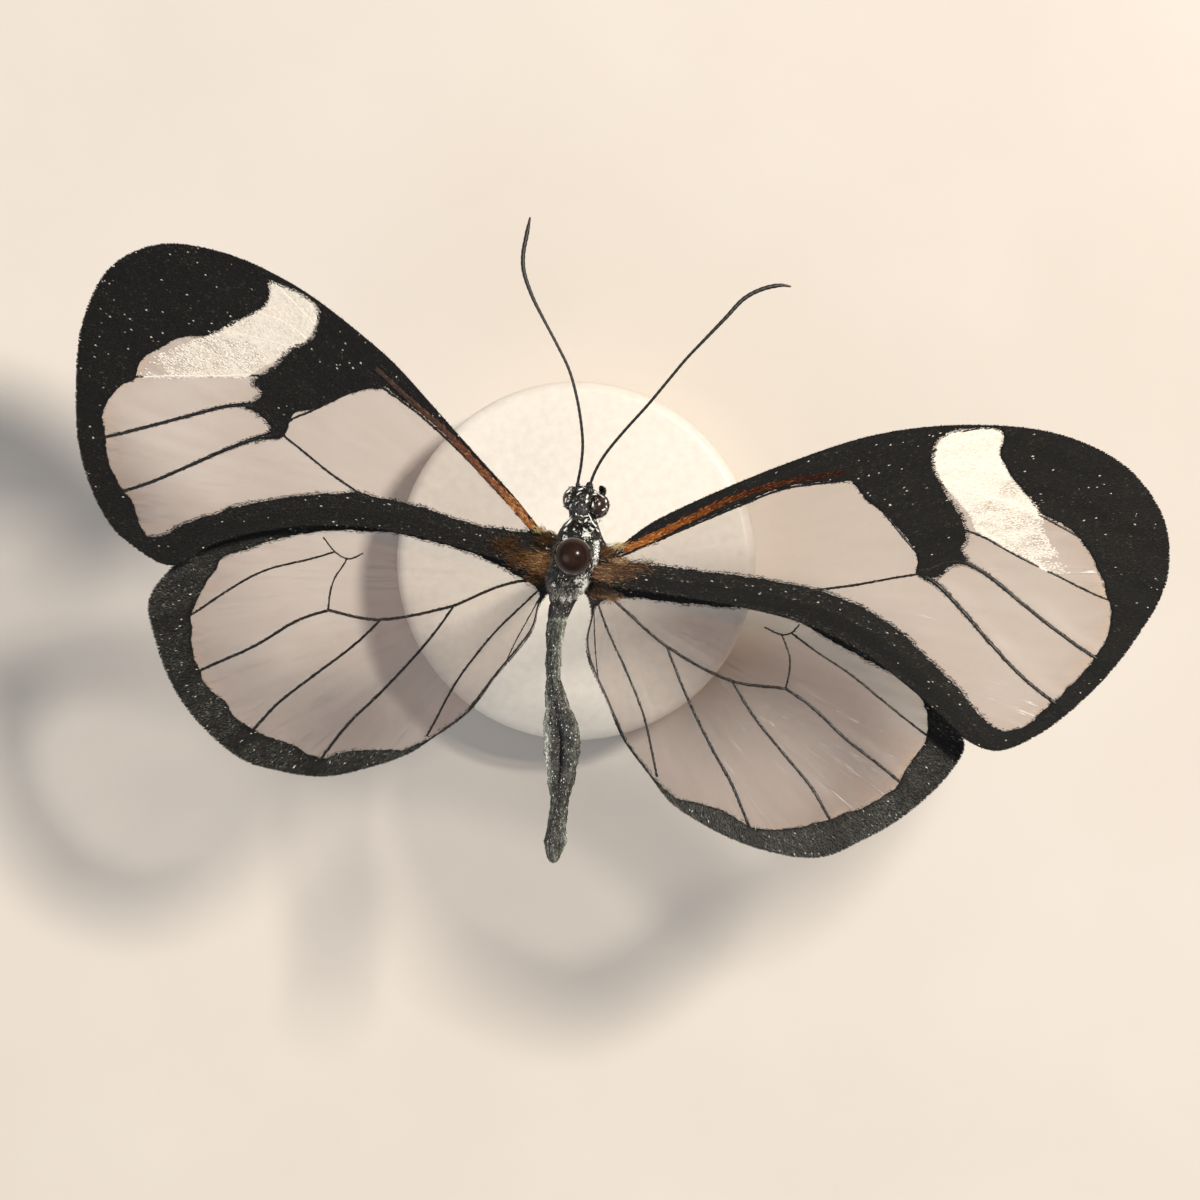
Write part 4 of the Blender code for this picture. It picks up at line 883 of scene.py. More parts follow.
# Single scales and hairs: name, roughness, sheen, gloss, and their tones from dark to light.
SCALE_LOOKS = {
    "fore_scales": ("black_single_scales", 0.6, 0.0, 0.2, [
        (0.0, "030302"), (0.3, "0b0a09"), (0.5, "1b1a16"), (0.75, "403f36"), (1.0, "c0c0b6")]),
    "hind_scales": ("smoky_single_scales", 0.5, 0.0, 0.3, [
        (0.0, "060504"), (0.25, "141311"), (0.5, "34352f"), (0.8, "666960"), (1.0, "c9cbc4")]),
    "white_scales": ("pearly_single_scales", 0.4, 0.0, 0.5, [
        (0.0, "c4bbac"), (0.5, "e0d9cc"), (1.0, "f4f0e8")]),
    "rust_scales": ("rusty_single_scales", 0.5, 0.0, 0.2, [
        (0.0, "150a06"), (0.3, "3a1b0e"), (0.55, "723b17"), (0.8, "a4622a"), (1.0, "cf9c5a")]),
    "sparse_hair": ("membrane_hair", 0.4, 0.0, 0.5, [
        (0.0, "3a291e"), (0.5, "8a6a55"), (0.9, "b39a84"), (1.0, "f2ebe0")]),
    "coat": ("body_single_scales", 0.4, 0.0, 0.5, [
        (0.0, "0a0908"), (0.3, "24231f"), (0.5, "5f655c"), (0.7, "9ba297"), (0.85, "e4e9e6"),
        (1.0, "fbfdfc")]),
    "body_hair": ("body_soft_hair", 0.5, 0.1, 0.5, [
        (0.0, "14110f"), (0.5, "5c544b"), (1.0, "d6d2c8")]),
    "root_hair": ("wing_root_hair", 0.45, 0.1, 0.5, [
        (0.0, "1d130b"), (0.35, "453519"), (0.65, "8a5226"), (1.0, "d8cc9a")]),
}


# Wings

def wing_middle(name, plan):
    """Height of a wing's middle: its root height, an even slope and a slight bow along the span."""
    height, slope = WINGS[name]
    out = np.abs(plan[:, 0])
    return height + math.tan(math.radians(slope)) * out + WING_BOW * out * (1 - out / WING_SPAN)


def wing_normal(name, plan):
    """Upward direction of a wing at each place, from the slope of its middle along X."""
    step = np.array([0.05, 0.0])
    rise = (wing_middle(name, plan + step) - wing_middle(name, plan - step)) / 0.1
    return unit(np.column_stack([-rise, np.zeros(len(plan)), np.ones(len(plan))]))


def wing_shape(name, seed):
    """Outlines, veins and the root of one wing, with its name and seed. A left wing's are the right
    wing's carried to its own marks, but for those that it has of its own."""
    fore = name.startswith("forewing")
    marks = FOREWING_MARKS if fore else HINDWING_MARKS
    place = (lambda p: carry(p, marks)) if name.endswith("left") else np.array
    right = RIGHT_FOREWING if fore else RIGHT_HINDWING
    shape = {key: place(wing_curve(key, points)) for key, points in right.items()}
    shape.update({key: wing_curve(key, points) for key, points in LEFT_OWN.get(name, {}).items()})
    veins = FOREWING_VEINS if fore else HINDWING_VEINS
    shape["veins"] = [(place(smooth_curve(path, VEIN_STEP)), a, b, tone) for path, a, b, tone in veins]
    if fore:
        shape["band_ends"] = place(np.array(BAND_ENDS))
    if name == "forewing_left":
        shape["band_ends"] = np.array(LEFT_BAND_ENDS)
        shape["veins"][0] = (smooth_curve(LEFT_FRONT_VEIN, VEIN_STEP),) + shape["veins"][0][1:]
    shape["root"] = place(np.array([FORE_ROOT, HIND_ROOT]))[0 if fore else 1]
    shape["maps"] = distance_maps(shape)
    shape["name"], shape["seed"] = name, seed
    return shape


def wing_curve(key, points):
    """A smooth curve through the points of a wing: closed for an outline, open for a line."""
    if key in OUTLINE_STEPS:
        return smooth_curve(points, OUTLINE_STEPS[key], closed=True)
    return smooth_curve(points, LINE_STEP)


def distance_maps(shape):
    """Distances to a wing's outlines and veins, worked out once at the corners of square cells."""
    low = shape["rim"].min(axis=0) - MAP_MARGIN
    count = np.ceil((shape["rim"].max(axis=0) + MAP_MARGIN - low) / MAP_CELL).astype(int) + 2
    steps = np.meshgrid(*map(np.arange, count), indexing="ij")
    corners = low + MAP_CELL * np.stack(steps, axis=-1).reshape(-1, 2)
    maps = {key: signed_distance(corners, shape[key]) for key in OUTLINE_STEPS if key in shape}
    maps["veins"] = np.min([near_line(corners, line) for line, _, _, _ in shape["veins"]], axis=0)
    return low, {key: values.reshape(count) for key, values in maps.items()}


def read_map(shape, key, plan):
    """A distance read from a wing's map, blended between the four corners of each place's cell."""
    low, maps = shape["maps"]
    values = maps[key]
    place = np.clip((plan - low) / MAP_CELL, 0, np.array(values.shape) - 1.001)
    i, j = place.astype(int).T
    a, b = (place - np.floor(place)).T
    return ((values[i, j] * (1 - a) + values[i + 1, j] * a) * (1 - b)
            + (values[i, j + 1] * (1 - a) + values[i + 1, j + 1] * a) * b)


def wing_fields(shape, plan):
    """Distances at each place, positive inside and the last two with a ragged edge: the rim, the dark
    cover (outside the clear field or in the bar, but not in the band) and, on a forewing, the band."""
    rim = read_map(shape, "rim", plan)
    dark = -read_map(shape, "clear", plan)
    band = None
    if "bar" in shape:
        dark = np.maximum(dark, read_map(shape, "bar", plan))
        band = read_map(shape, "band", plan)
        dark = np.minimum(dark, -band)
    x, y = plan.T
    ragged = 0.05 * mottle(x, y, 0.14, 5) + 0.05 * mottle(x, y, 0.6, 6)
    return rim, dark + ragged, None if band is None else band + ragged


def band_fade(shape, plan):
    """How thick the white scales lie, from 1 to 0: full at the front edge, less along the band, more
    beside the veins, and in streaks where it is neither full nor bare."""
    start, stop = shape["band_ends"]
    share = ((plan - start) @ (stop - start)) / ((stop - start) ** 2).sum()
    near = read_map(shape, "veins", plan)
    thick = np.interp(share, [0.28, 0.42, 0.85, 1.02, 1.25], [1.0, 0.62, 0.45, 0.06, 0.0])
    thick += 0.4 * np.exp(-(near / 0.22) ** 2) * np.clip((1.2 - share) * 5, 0, 1)
    streaks = ray_streaks(shape, plan, 60, 1.2, 7)
    return np.clip(thick + 0.30 * streaks * np.clip(4 * (1 - thick), 0, 1) * np.clip(thick * 4, 0, 1), 0, 1)


def rays(shape, plan):
    """The angle about the wing's root and the distance from it, the same on the left and the right."""
    away = plan - shape["root"]
    return np.arctan2(away[:, 1], np.abs(away[:, 0])), np.linalg.norm(away, axis=1)


def ray_streaks(shape, plan, per_radian, per_mm, seed):
    """Streaks from -1 to 1 that run outwards from the wing's root: noise in angle and distance."""
    angle, distance = rays(shape, plan)
    return mottle(angle * per_radian + 200, distance * per_mm, 1.0, seed)


def ray_places(shape, points):
    """Places in millimetres across and along the rays: the angle about the root times RAY_REACH, and the
    distance from the root."""
    angle, distance = rays(shape, points[:, :2])
    return np.column_stack([angle * RAY_REACH, distance, points[:, 2]])


def fan_direction(shape, plan, rng, spread):
    """Direction in which scales and hairs lie at each place: away from the wing's root, each turned a
    little at random."""
    ahead = unit(np.column_stack([plan - shape["root"], np.zeros(len(plan))]))
    ahead[:, :2] += rng.normal(0, spread, (len(plan), 2))
    return ahead


def scattered(outline, spacing, seed):
    """Places on a jittered square grid over an outline."""
    rng = np.random.default_rng(seed)
    grid, _ = plan_grid(outline, spacing)
    return grid + rng.uniform(-0.5, 0.5, grid.shape) * spacing


def on_unwrap(shape, plan):
    """A wing's unwrap: its plan scaled into the unit square."""
    low, high = shape["rim"].min(axis=0), shape["rim"].max(axis=0)
    return 0.02 + 0.96 * (plan - low) / (high - low).max()


def wing_skin(shape, plan):
    """Height of the thin wing: its middle, a little higher beside the veins, with soft waves in the plane
    and along the rays."""
    x, y = plan.T
    near = read_map(shape, "veins", plan)
    sag = 0.10 * np.exp(-(near / 0.7) ** 2) + 0.03 * mottle(x, y, 1.6, shape["seed"])
    waves = 0.012 * ray_streaks(shape, plan, 34, 0.15, shape["seed"] + 3)
    return wing_middle(shape["name"], plan) + sag + waves - 0.05


def put_sheet(shape, label, look, plan, triangles, half, nodes=(), shade=None):
    """One of a wing's sheets, of a half thickness, about its skin."""
    points, faces = slab(plan, triangles, wing_skin(shape, plan), half)
    put_mesh(f"{shape['name']}_{label}", points, faces, look, nodes,
             shade=None if shade is None else np.tile(shade, 2), lie=ray_places(shape, points))


def put_wing_scales(shape, label, look, places, height, ahead, size, tone, side=1):
    """Single scales on a wing at a height over its skin, above it or, with side -1, below."""
    up = wing_normal(shape["name"], places) * side
    roots = np.column_stack([places, wing_skin(shape, places)]) + up * height
    put_scales(f"{shape['name']}_{label}", look, roots, ahead, up, size, tone,
               on_unwrap(shape, places))


def build_wing(name, looks, seed):
    """One wing: membrane, dark cover, white band, veins, single scales, streak and fringe. The membrane's
    pale golden sheen, a painted reflection, grows outwards and towards the dark margin, in streaks along the
    rays."""
    shape = wing_shape(name, seed)
    fore = "band" in shape
    grid, triangles = plan_grid(shape["rim"], WING_STEP)
    plan, triangles = trimmed(grid, triangles, read_map(shape, "rim", grid) - RIM_INSET)
    _, dark, band = wing_fields(shape, plan)
    _, distance = rays(shape, plan)
    outer = np.clip(distance / np.abs(shape["rim"][:, 0]).max() * 2 - 0.9, 0, 1)
    tint_and_reflection = 0.14 + 0.10 * ray_streaks(shape, plan, 40, 0.2, seed + 4) * (0.3 + outer)
    streaks = 1 + 0.5 * ray_streaks(shape, plan, 90, 0.9, seed + 6)
    # Painted reflection: a pale golden sheen that grows outwards and towards the dark margin.
    tint_and_reflection += 0.55 * outer * np.exp(np.minimum(dark, 0) / 0.9) * streaks
    put_sheet(shape, "membrane", looks["membrane"], plan, triangles, MEMBRANE_HALF, (name,), tint_and_reflection)
    dark_plan, dark_triangles = trimmed(plan, triangles, dark - COVER_INSET)
    half = COVER_HALF + 0.02 * np.clip(read_map(shape, "rim", dark_plan) / 0.3, 0, 1)
    put_sheet(shape, "cover", looks["fore_cover" if fore else "hind_cover"], dark_plan, dark_triangles, half)
    if fore:
        band_plan, band_triangles = trimmed(plan, triangles, band)
        put_sheet(shape, "band", looks["band"], band_plan, band_triangles, COVER_HALF,
                  shade=band_fade(shape, band_plan))
    build_veins(shape, looks)
    build_vein_scales(shape, looks)
    build_wing_scales(shape, looks)
    build_fringe(shape, looks)


def build_veins(shape, looks):
    """Veins as tapered tubes that follow the wing's skin, sunk where the dark cover lies over them."""
    parts, tones = [], []
    sides = 8
    for line, first, last, tone in shape["veins"]:
        line = line[read_map(shape, "rim", line) > 0.12]
        radius = vein_core(vein_radius(first, last, np.linspace(0, 1, len(line))))
        _, dark, band = wing_fields(shape, line)
        height = wing_skin(shape, line) + 0.02 - 0.06 * np.clip(dark / 0.3, 0, 1)
        parts.append(tube(np.column_stack([line, height]), radius, sides))
        shade = np.full(len(line), 0.3 + 0.7 * tone)
        if band is not None:
            shade[band > 0] = 0.0
        tones.append(np.append(np.repeat(shade, sides), [shade[0], shade[-1]]))
    points, faces = join(parts)
    put_mesh(shape["name"] + "_veins", points, faces, looks["vein"], shade=np.concatenate(tones))


def vein_radius(first, last, share):
    """Half width at a share of the way along a vein: quickly narrower at first, then even."""
    return last + (first - last) * (1 - share) ** 2.5


def vein_core(radius):
    """Radius of the bare tube under the scales of a vein of this half width."""
    return np.minimum(0.8 * radius, 0.05 + 0.3 * radius)


def build_vein_scales(shape, looks):
    """Narrow dark scales that lie along the veins in the clear field and a little to their sides, more
    and closer to the root on a vein that starts thick."""
    rng = np.random.default_rng(shape["seed"] + 61)
    places, along, tops = [], [], []
    for line, first, last, tone in shape["veins"]:
        thick = max(0, first - 0.1)
        count = int(VEIN_SCALES_PER_MM * VEIN_STEP * len(line) * (0.5 + 0.5 * tone) * (1 + 8 * thick))
        index = (len(line) - 1.001) * rng.random(count) ** (1.0 + 5 * thick)
        low = index.astype(int)
        step = np.diff(line, axis=0)
        run = unit(step)[low]
        place = line[low] + (index - low)[:, None] * step[low]
        across = np.column_stack([-run[:, 1], run[:, 0]])
        radius = vein_radius(first, last, index / len(line))
        wide = radius * rng.uniform(-0.95, 0.95, count)
        tops.append(np.sqrt(np.maximum(vein_core(radius) ** 2 - wide ** 2, 0)))
        places.append(place + across * wide[:, None])
        along.append(run + across * (wide * 1.2 + rng.normal(0, 0.07, count))[:, None])
    places, along, tops = np.vstack(places), np.vstack(along), np.concatenate(tops)
    rim, dark, band = wing_fields(shape, places)
    keep = (rim > 0.3) & (dark < 0.1)
    if band is not None:
        keep &= band < 0
    places, along, tops = places[keep], along[keep], tops[keep]
    count = len(places)
    height = (tops + rng.uniform(0.02, 0.04, count))[:, None]
    length = rng.uniform(0.08, 0.14, count)
    lift = rng.uniform(0.0, 0.012, count)
    tone = np.where(rng.random(count) < 0.015, 0.9, rng.beta(1.5, 6, count))
    put_wing_scales(shape, "vein_scales", looks["fore_scales"], places, height,
                    np.column_stack([along, np.zeros(count)]), (length, 0.032, lift), tone)


def wing_tone(shape, places, rng):
    """Lightness of single scales on the dark cover. Forewing: black with faint lines along the rays and a
    painted highlight beside the veins, and a rear stripe with an olive front part, a crease lit by a
    painted highlight and a dull rear edge. Hindwing: smoky, with black patches where the veins end. A few
    scales are white."""
    near = read_map(shape, "veins", places)
    rays = ray_streaks(shape, places, 55, 0.4, shape["seed"] + 9)
    clouds = mottle(places[:, 0] + 40, places[:, 1] + 40, 1.3, shape["seed"] + 8)
    tone = rng.beta(1.6, 5.5, len(places))
    if "stripe" in shape:
        rim, dark, _ = wing_fields(shape, places)
        share = rim / np.maximum(rim + np.maximum(dark, 0), 0.05)
        # Zones across the stripe: the light line at share 0.61 is a painted highlight on its crease.
        zones = np.interp(share, [0, 0.2, 0.3, 0.56, 0.61, 0.66, 1],
                          [0.20, 0.14, -0.12, -0.14, 0.22, 0.10, 0.18])
        within = np.clip((1.5 - near_line(places, shape["stripe"])) / 0.4, 0, 1)
        # The lighter line beside each vein is a painted highlight.
        tone += 0.10 * rays + 0.05 * clouds - 0.05 + 0.07 * np.exp(-(near / 0.10) ** 2)
        tone += within * zones * (1.0 if shape["name"].endswith("right") else 0.5)
        white = 0.0035
    else:
        tone += 0.08 * rays + 0.14 * clouds + 0.08 - 0.34 * np.exp(-(near / 0.38) ** 2)
        white = 0.006
    return np.where(rng.random(len(places)) < white, 1.0, np.clip(tone, 0, 1))


def build_wing_scales(shape, looks):
    """Single scales over the dark cover above and below, hairs on the membrane and, on a forewing, the
    band and the streak. Scales are longer and narrower on a hindwing, and never reach past the rim."""
    seed = shape["seed"]
    rng = np.random.default_rng(seed)
    fore = "band" in shape
    look = looks["fore_scales" if fore else "hind_scales"]
    spread, longer, wider, higher = (0.16, 1.0, 1.0, 1.0) if fore else (0.24, 1.25, 0.62, 2.2)
    sides = ((1, UPPER_SPACING, 0.10, "upper"), (-1, LOWER_SPACING, -0.32, "lower"))
    for side, spacing, ragged, label in sides:
        places = scattered(shape["rim"], spacing, seed + side + 2)
        rim, dark, _ = wing_fields(shape, places)
        keep = (rim > RIM_INSET + 0.02) & (dark + ragged * rng.uniform(0.3, 1.0, len(places)) > 0.0)
        places, rim, dark = places[keep], rim[keep], dark[keep]
        count = len(places)
        ahead = fan_direction(shape, places, rng, spread)
        length = np.minimum(rng.uniform(1.6, 2.6, count) * spacing * longer, rim - 0.03)
        width = length * rng.uniform(0.40, 0.6, count) * wider * np.interp(dark, [0.0, 0.22], [0.5, 1.0])
        lift = rng.uniform(0.03, 0.16, count) * spacing * higher
        put_wing_scales(shape, "scales_" + label, look, places, COVER_HEIGHT, ahead, (length, width, lift),
                        wing_tone(shape, places, rng), side)
    places = scattered(shape["rim"], HAIR_SPACING, seed + 21)
    rim, dark, _ = wing_fields(shape, places)
    places = places[(rim > 0.2) & (dark < -0.05)]
    count = len(places)
    ahead = fan_direction(shape, places, rng, 0.5)
    up = wing_normal(shape["name"], places)
    root = np.column_stack([places, wing_skin(shape, places)]) + up * 0.02
    tips = root + unit(ahead) * rng.uniform(0.04, 0.12, count)[:, None] + up * 0.02
    put_hairs(shape["name"] + "_hairs", looks["sparse_hair"], [hairs(root, tips, up * 0.01, 0.007)],
              rng.random(count), on_unwrap(shape, places))
    if fore:
        build_band_scales(shape, looks, rng)
        build_streak(shape, looks, rng)


def build_band_scales(shape, looks, rng):
    """Pearly scales of the white band, thinner towards its lower end."""
    places = scattered(shape["rim"], BAND_SPACING, shape["seed"] + 31)
    _, _, band = wing_fields(shape, places)
    places = places[band > -0.04]
    thick = band_fade(shape, places)
    keep = rng.random(len(places)) < np.clip(thick * 1.15, 0, 1)
    places, thick = places[keep], thick[keep]
    count = len(places)
    ahead = fan_direction(shape, places, rng, 0.10)
    length = rng.uniform(0.11, 0.19, count)
    lift = 0.004 + 0.03 * (1 - thick) * rng.random(count)
    width = length * rng.uniform(0.28, 0.42, count)
    put_wing_scales(shape, "band_scales", looks["white_scales"], places, BAND_HEIGHT, ahead,
                    (length, width, lift), rng.beta(4, 1.6, count))


def build_streak(shape, looks, rng):
    """Rusty streak of scales behind the front edge, widest and lightest near the root."""
    line = shape["streak"]
    count = STREAK_SCALES
    share = rng.random(count) ** 1.15
    index = share * (len(line) - 1)
    base = np.stack([np.interp(index, np.arange(len(line)), line[:, k]) for k in (0, 1)], axis=1)
    ahead = np.gradient(line, axis=0)[np.clip(index.astype(int), 0, len(line) - 1)]
    ahead = unit(np.column_stack([ahead, np.zeros(count)]))
    across = np.column_stack([-ahead[:, 1], ahead[:, 0]])
    spread = (0.17 - 0.08 * share) * rng.normal(0, 0.5, count)
    places = base + across * spread[:, None]
    keep = read_map(shape, "rim", places) > 0.12
    places, ahead, share = places[keep], ahead[keep], share[keep]
    count = len(places)
    ahead[:, :2] += rng.normal(0, 0.10, (count, 2))
    length = rng.uniform(0.22, 0.42, count)
    lift = rng.uniform(0.02, 0.06, count)
    tone = np.clip(rng.normal(0.70, 0.18, count) - np.interp(share, [0.1, 0.55, 1], [0, 0.38, 0.62]), 0, 1)
    put_wing_scales(shape, "streak", looks["rust_scales"], places, STREAK_HEIGHT, ahead,
                    (length, 0.055, lift), tone)


def build_fringe(shape, looks):
    """Short fringe hairs round the rim that keep just inside the wing's own outline."""
    rng = np.random.default_rng(shape["seed"] + 41)
    rim = shape["rim"]
    after = np.roll(rim, -1, axis=0)
    count = len(rim) * FRINGE_HAIRS
    index = np.arange(count) // FRINGE_HAIRS
    share = rng.random(count)[:, None]
    place = rim[index] * (1 - share) + after[index] * share
    run = unit(after[index] - rim[index])
    outward = np.column_stack([run[:, 1], -run[:, 0]])
    outward *= -np.sign(read_map(shape, "rim", place + outward * 0.05))[:, None]
    keep = np.abs(place[:, 0]) > 3.0
    place, outward = place[keep], outward[keep]
    count = len(place)
    lean = unit(place - shape["root"]) * 0.6
    start = place - outward * (RIM_INSET + 0.10)
    reach = unit(outward + lean + rng.normal(0, 0.15, (count, 2))) * rng.uniform(0.12, 0.21, count)[:, None]
    height = wing_skin(shape, place)
    root = np.column_stack([start, height + rng.uniform(-0.02, 0.05, count)])
    ends = np.clip(start + reach, rim.min(axis=0) + 0.03, rim.max(axis=0) - 0.03)
    tips = np.column_stack([ends, height + rng.normal(0, 0.04, count)])
    tone = np.where(rng.random(count) < 0.18, rng.uniform(0.6, 0.9, count), rng.beta(1.5, 5, count))
    put_hairs(shape["name"] + "_fringe", looks["fore_scales" if "band" in shape else "hind_scales"],
              [hairs(root, tips, np.zeros(3), 0.012)], tone, on_unwrap(shape, place))


# Body

BODY_TABLE = smooth_curve(BODY_SECTIONS, 0.03)
BELLY_START = -2.4
BELLY_RING = 1.55
HEAD_END = 2.1
THORAX_END = -2.3


def body_section(share):
    """The skin's section at a share of the way from face to tail: y, middle x and z, half width and half
    height, read between the rows of the body's table."""
    index = share * (len(BODY_TABLE) - 1)
    steps = np.arange(len(BODY_TABLE))
    return [np.interp(index, steps, BODY_TABLE[:, k]) for k in range(5)]


def body_point(share, angle):
    """Skin at a share of the way from face to tail and an angle round it: an ellipse about the
    section's middle, with swellings, hollows, creases and the abdomen's rings added along its radius."""
    y, x, z, wide, tall = body_section(share)
    extra = laid(y, np.degrees(angle), BODY_FORMS)
    belly = np.clip((BELLY_START - y) / 0.5, 0, 1) * np.clip((y + 15.6) / 0.4, 0, 1)
    extra += belly * 0.035 * np.cos(2 * np.pi * (y - BELLY_START) / BELLY_RING) ** 5
    crease = mottle(y * 1.2 + 20, angle * 3.2, 0.8, 11) + 0.6 * mottle(y * 3 + 20, angle * 8, 0.8, 12)
    small = np.minimum(wide, tall)
    extra += 0.035 * crease * np.clip(small / 0.4, 0, 1)
    scale = 1 + np.clip(extra, -0.8 * small, 0.14) / np.maximum(small, 0.05)
    return np.stack([x + wide * scale * np.cos(angle), y,
                     BODY_HEIGHT + z + tall * scale * np.sin(angle)], axis=-1)


def body_frame(share, angle):
    """Skin points with the outward direction and the direction towards the tail, from the differences
    between neighbouring points."""
    small = 2e-3
    here = body_point(share, angle)
    back = body_point(np.minimum(share + small, 1), angle) - body_point(np.maximum(share - small, 0), angle)
    round_ = body_point(share, angle + 0.02) - body_point(share, angle - 0.02)
    out = np.cross(unit(back), unit(round_))
    out *= np.sign((out * (here - body_axis(share))).sum(axis=1))[:, None]
    return here, unit(out), unit(back)


def body_axis(share):
    """The middle of the body at a share of the way along it."""
    y, x, z, _, _ = body_section(share)
    return np.stack([x, y, BODY_HEIGHT + z], axis=-1)


def share_at(y):
    """Share of the way from face to tail at which the skin passes a place along Y."""
    return np.interp(-y, -BODY_TABLE[:, 0], np.linspace(0, 1, len(BODY_TABLE)))


def build_body(looks):
    """One skin from face to tail, with the coat of scales and the longer hairs."""
    rows, sides = 520, 96
    turn = 2 * np.pi * np.arange(sides) / sides
    share, angle = np.meshgrid(np.linspace(0, 1, rows), turn, indexing="ij")
    body = body_point(share, angle).reshape(-1, 3)
    ends = np.vstack([body[:sides].mean(axis=0), body[-sides:].mean(axis=0)])
    ground, white = body_tone(body, angle.ravel())
    tone = np.append(0.8 * (ground + (0.8 - ground) * white), [0.1, 0.3])
    put_mesh("body_skin", np.vstack([body, ends]), closed_rings(rows, sides), looks["cuticle"],
             ("head", "thorax", "abdomen"), shade=tone)
    head_end, thorax_end = share_at(HEAD_END), share_at(THORAX_END)
    build_body_scales("head_scales", looks, (0.004, head_end), HEAD_SCALES, 0.10, 51)
    build_body_scales("thorax_scales", looks, (head_end, thorax_end), THORAX_SCALES, 0.13, 52)
    build_body_scales("abdomen_scales", looks, (thorax_end, 0.996), ABDOMEN_SCALES, 0.09, 53)
    build_body_hair(looks)


def laid(y, degrees, table):
    """The sum of soft round spots, each given by y, angle, reach along y, reach in degrees and height."""
    total = np.zeros_like(y)
    for at, turn, reach, arc, height in table:
        off = (degrees - turn + 180) % 360 - 180
        total += height * np.exp(-((y - at) / reach) ** 2 - (off / arc) ** 2)
    return total


def body_tone(place, angle):
    """Lightness of the coat from 0 to 1, and the share of white scales in it: black on the head and
    thorax with white patches, grey-green on the abdomen with painted shade in its hollows and pale edges."""
    x, y = place[:, 0], place[:, 1]
    white = np.zeros(len(place))
    for at_x, at_y, reach, strength in BODY_WHITES:
        white += strength * np.exp(-(((x - at_x) ** 2 + (y - at_y) ** 2) / reach ** 2) ** 1.5)
    belly = np.clip((-2.2 - y) / 0.3, 0, 1)
    # The darker spots that BODY_TONES lays on the abdomen's hollows are painted shade.
    tone = 0.08 + 0.26 * belly + laid(y, np.degrees(angle), BODY_TONES)
    tone += (0.05 + 0.10 * belly) * mottle(y * 1.3 + 30, angle * 2.0, 0.45, 61)
    return np.clip(tone, 0.02, 0.9), np.clip(0.9 * white * (place[:, 2] > BODY_HEIGHT - 0.4) + 0.02, 0, 0.93)


def build_body_scales(name, looks, span, count, length, seed):
    """Scales that lie towards the tail, in the coat's own markings."""
    rng = np.random.default_rng(seed)
    share = rng.uniform(span[0], span[1], count)
    angle = rng.uniform(0, 2 * np.pi, count)
    place, out, back = body_frame(share, angle)
    back = back + rng.normal(0, 0.25, (count, 3))
    back -= out * (back * out).sum(axis=1)[:, None]
    reach = length * rng.uniform(0.7, 1.3, count)
    width = reach * rng.uniform(0.35, 0.6, count)
    lift = rng.uniform(0.01, 0.05, count) * length / 0.15
    ground, white = body_tone(place, angle)
    tone = np.clip(ground + rng.normal(0, 0.11, count), 0, 1)
    tone = np.where(rng.random(count) < white, rng.uniform(0.8, 1.0, count), tone)
    put_scales(name, looks["coat"], place, back, out, (reach, width, lift), tone,
               np.column_stack([share, angle / (2 * np.pi)]))


def build_body_hair(looks):
    """Soft hairs in zones, each given by its front and rear, the angles between which it lies, how many,
    how long and how pale: sides, collar, rear of the thorax, neck, face and underside."""
    rng = np.random.default_rng(71)
    zones = [
        (0.9, -1.6, 130, 215, 700, 0.34, 0.45), (0.9, -1.6, -30, 12, 420, 0.30, 0.7),
        (2.3, 1.7, 10, 170, 420, 0.22, 0.35), (-1.5, -2.1, 30, 150, 420, 0.26, 0.7),
        (3.9, 2.4, 40, 140, 420, 0.15, 0.2), (1.6, -1.2, 60, 165, 380, 0.22, 0.25),
        (1.6, -2.0, 200, 340, 700, 0.34, 0.35), (3.9, 3.2, 180, 360, 260, 0.24, 0.4),
    ]
    parts, tones, where = [], [], []
    for front, rear, start, stop, count, length, pale in zones:
        share = rng.uniform(share_at(front), share_at(rear), count)
        angle = np.radians(rng.uniform(start, stop, count))
        place, out, back = body_frame(share, angle)
        lie = unit(back + 0.40 * out + rng.normal(0, 0.25, (count, 3)))
        reach = length * rng.uniform(0.5, 1.0, count)[:, None]
        parts.append(hairs(place - out * 0.03, place + lie * reach, out * reach * 0.10, 0.009))
        tones.append(np.clip(rng.normal(pale, 0.2, count), 0, 1))
        where.append(np.column_stack([share, (angle % (2 * np.pi)) / (2 * np.pi)]))
    put_hairs("body_hair", looks["body_hair"], parts, np.concatenate(tones), np.vstack(where))


def build_root_tufts(looks):
    """Tufts of long soft scales over the wings' roots, each lying outwards along its wing."""
    rng = np.random.default_rng(75)
    parts, tones, where = [], [], []
    for x, y, z, spread, ahead_x, ahead_y, length, pale, count in ROOT_TUFTS:
        place = np.array([x, y, z]) + rng.normal(0, 1, (count, 3)) * (spread, spread * 0.6, 0.05)
        lie = unit(np.array([ahead_x, ahead_y, 0.06]) + rng.normal(0, 0.22, (count, 3)) * (1, 1, 0.5))
        reach = length * rng.uniform(0.45, 1.0, count)[:, None]
        start = place - lie * reach * 0.5
        parts.append(hairs(start, start + lie * reach, np.array([0, 0, 0.03]), 0.011))
        tones.append(np.clip(rng.normal(pale, 0.2, count), 0, 1))
        where.append(from_above(place))
    put_hairs("wing_root_tufts", looks["root_hair"], parts, np.concatenate(tones), np.vstack(where))


def from_above(place):
    """The unwrap of small pieces on the thorax and head: their places seen from above, 8 mm wide."""
    return 0.5 + place[:, :2] / 8


def on_head(points):
    """Places given from the head's centre as right, ahead and up, after the head's roll and turn."""
    right, ahead, up = np.atleast_2d(np.array(points, float)).T
    x = right * math.cos(HEAD_ROLL) - up * math.sin(HEAD_ROLL)
    return HEAD_CENTRE + np.column_stack([
        x * math.cos(HEAD_YAW) - ahead * math.sin(HEAD_YAW),
        ahead * math.cos(HEAD_YAW) + x * math.sin(HEAD_YAW),
        up * math.cos(HEAD_ROLL) + right * math.sin(HEAD_ROLL)])


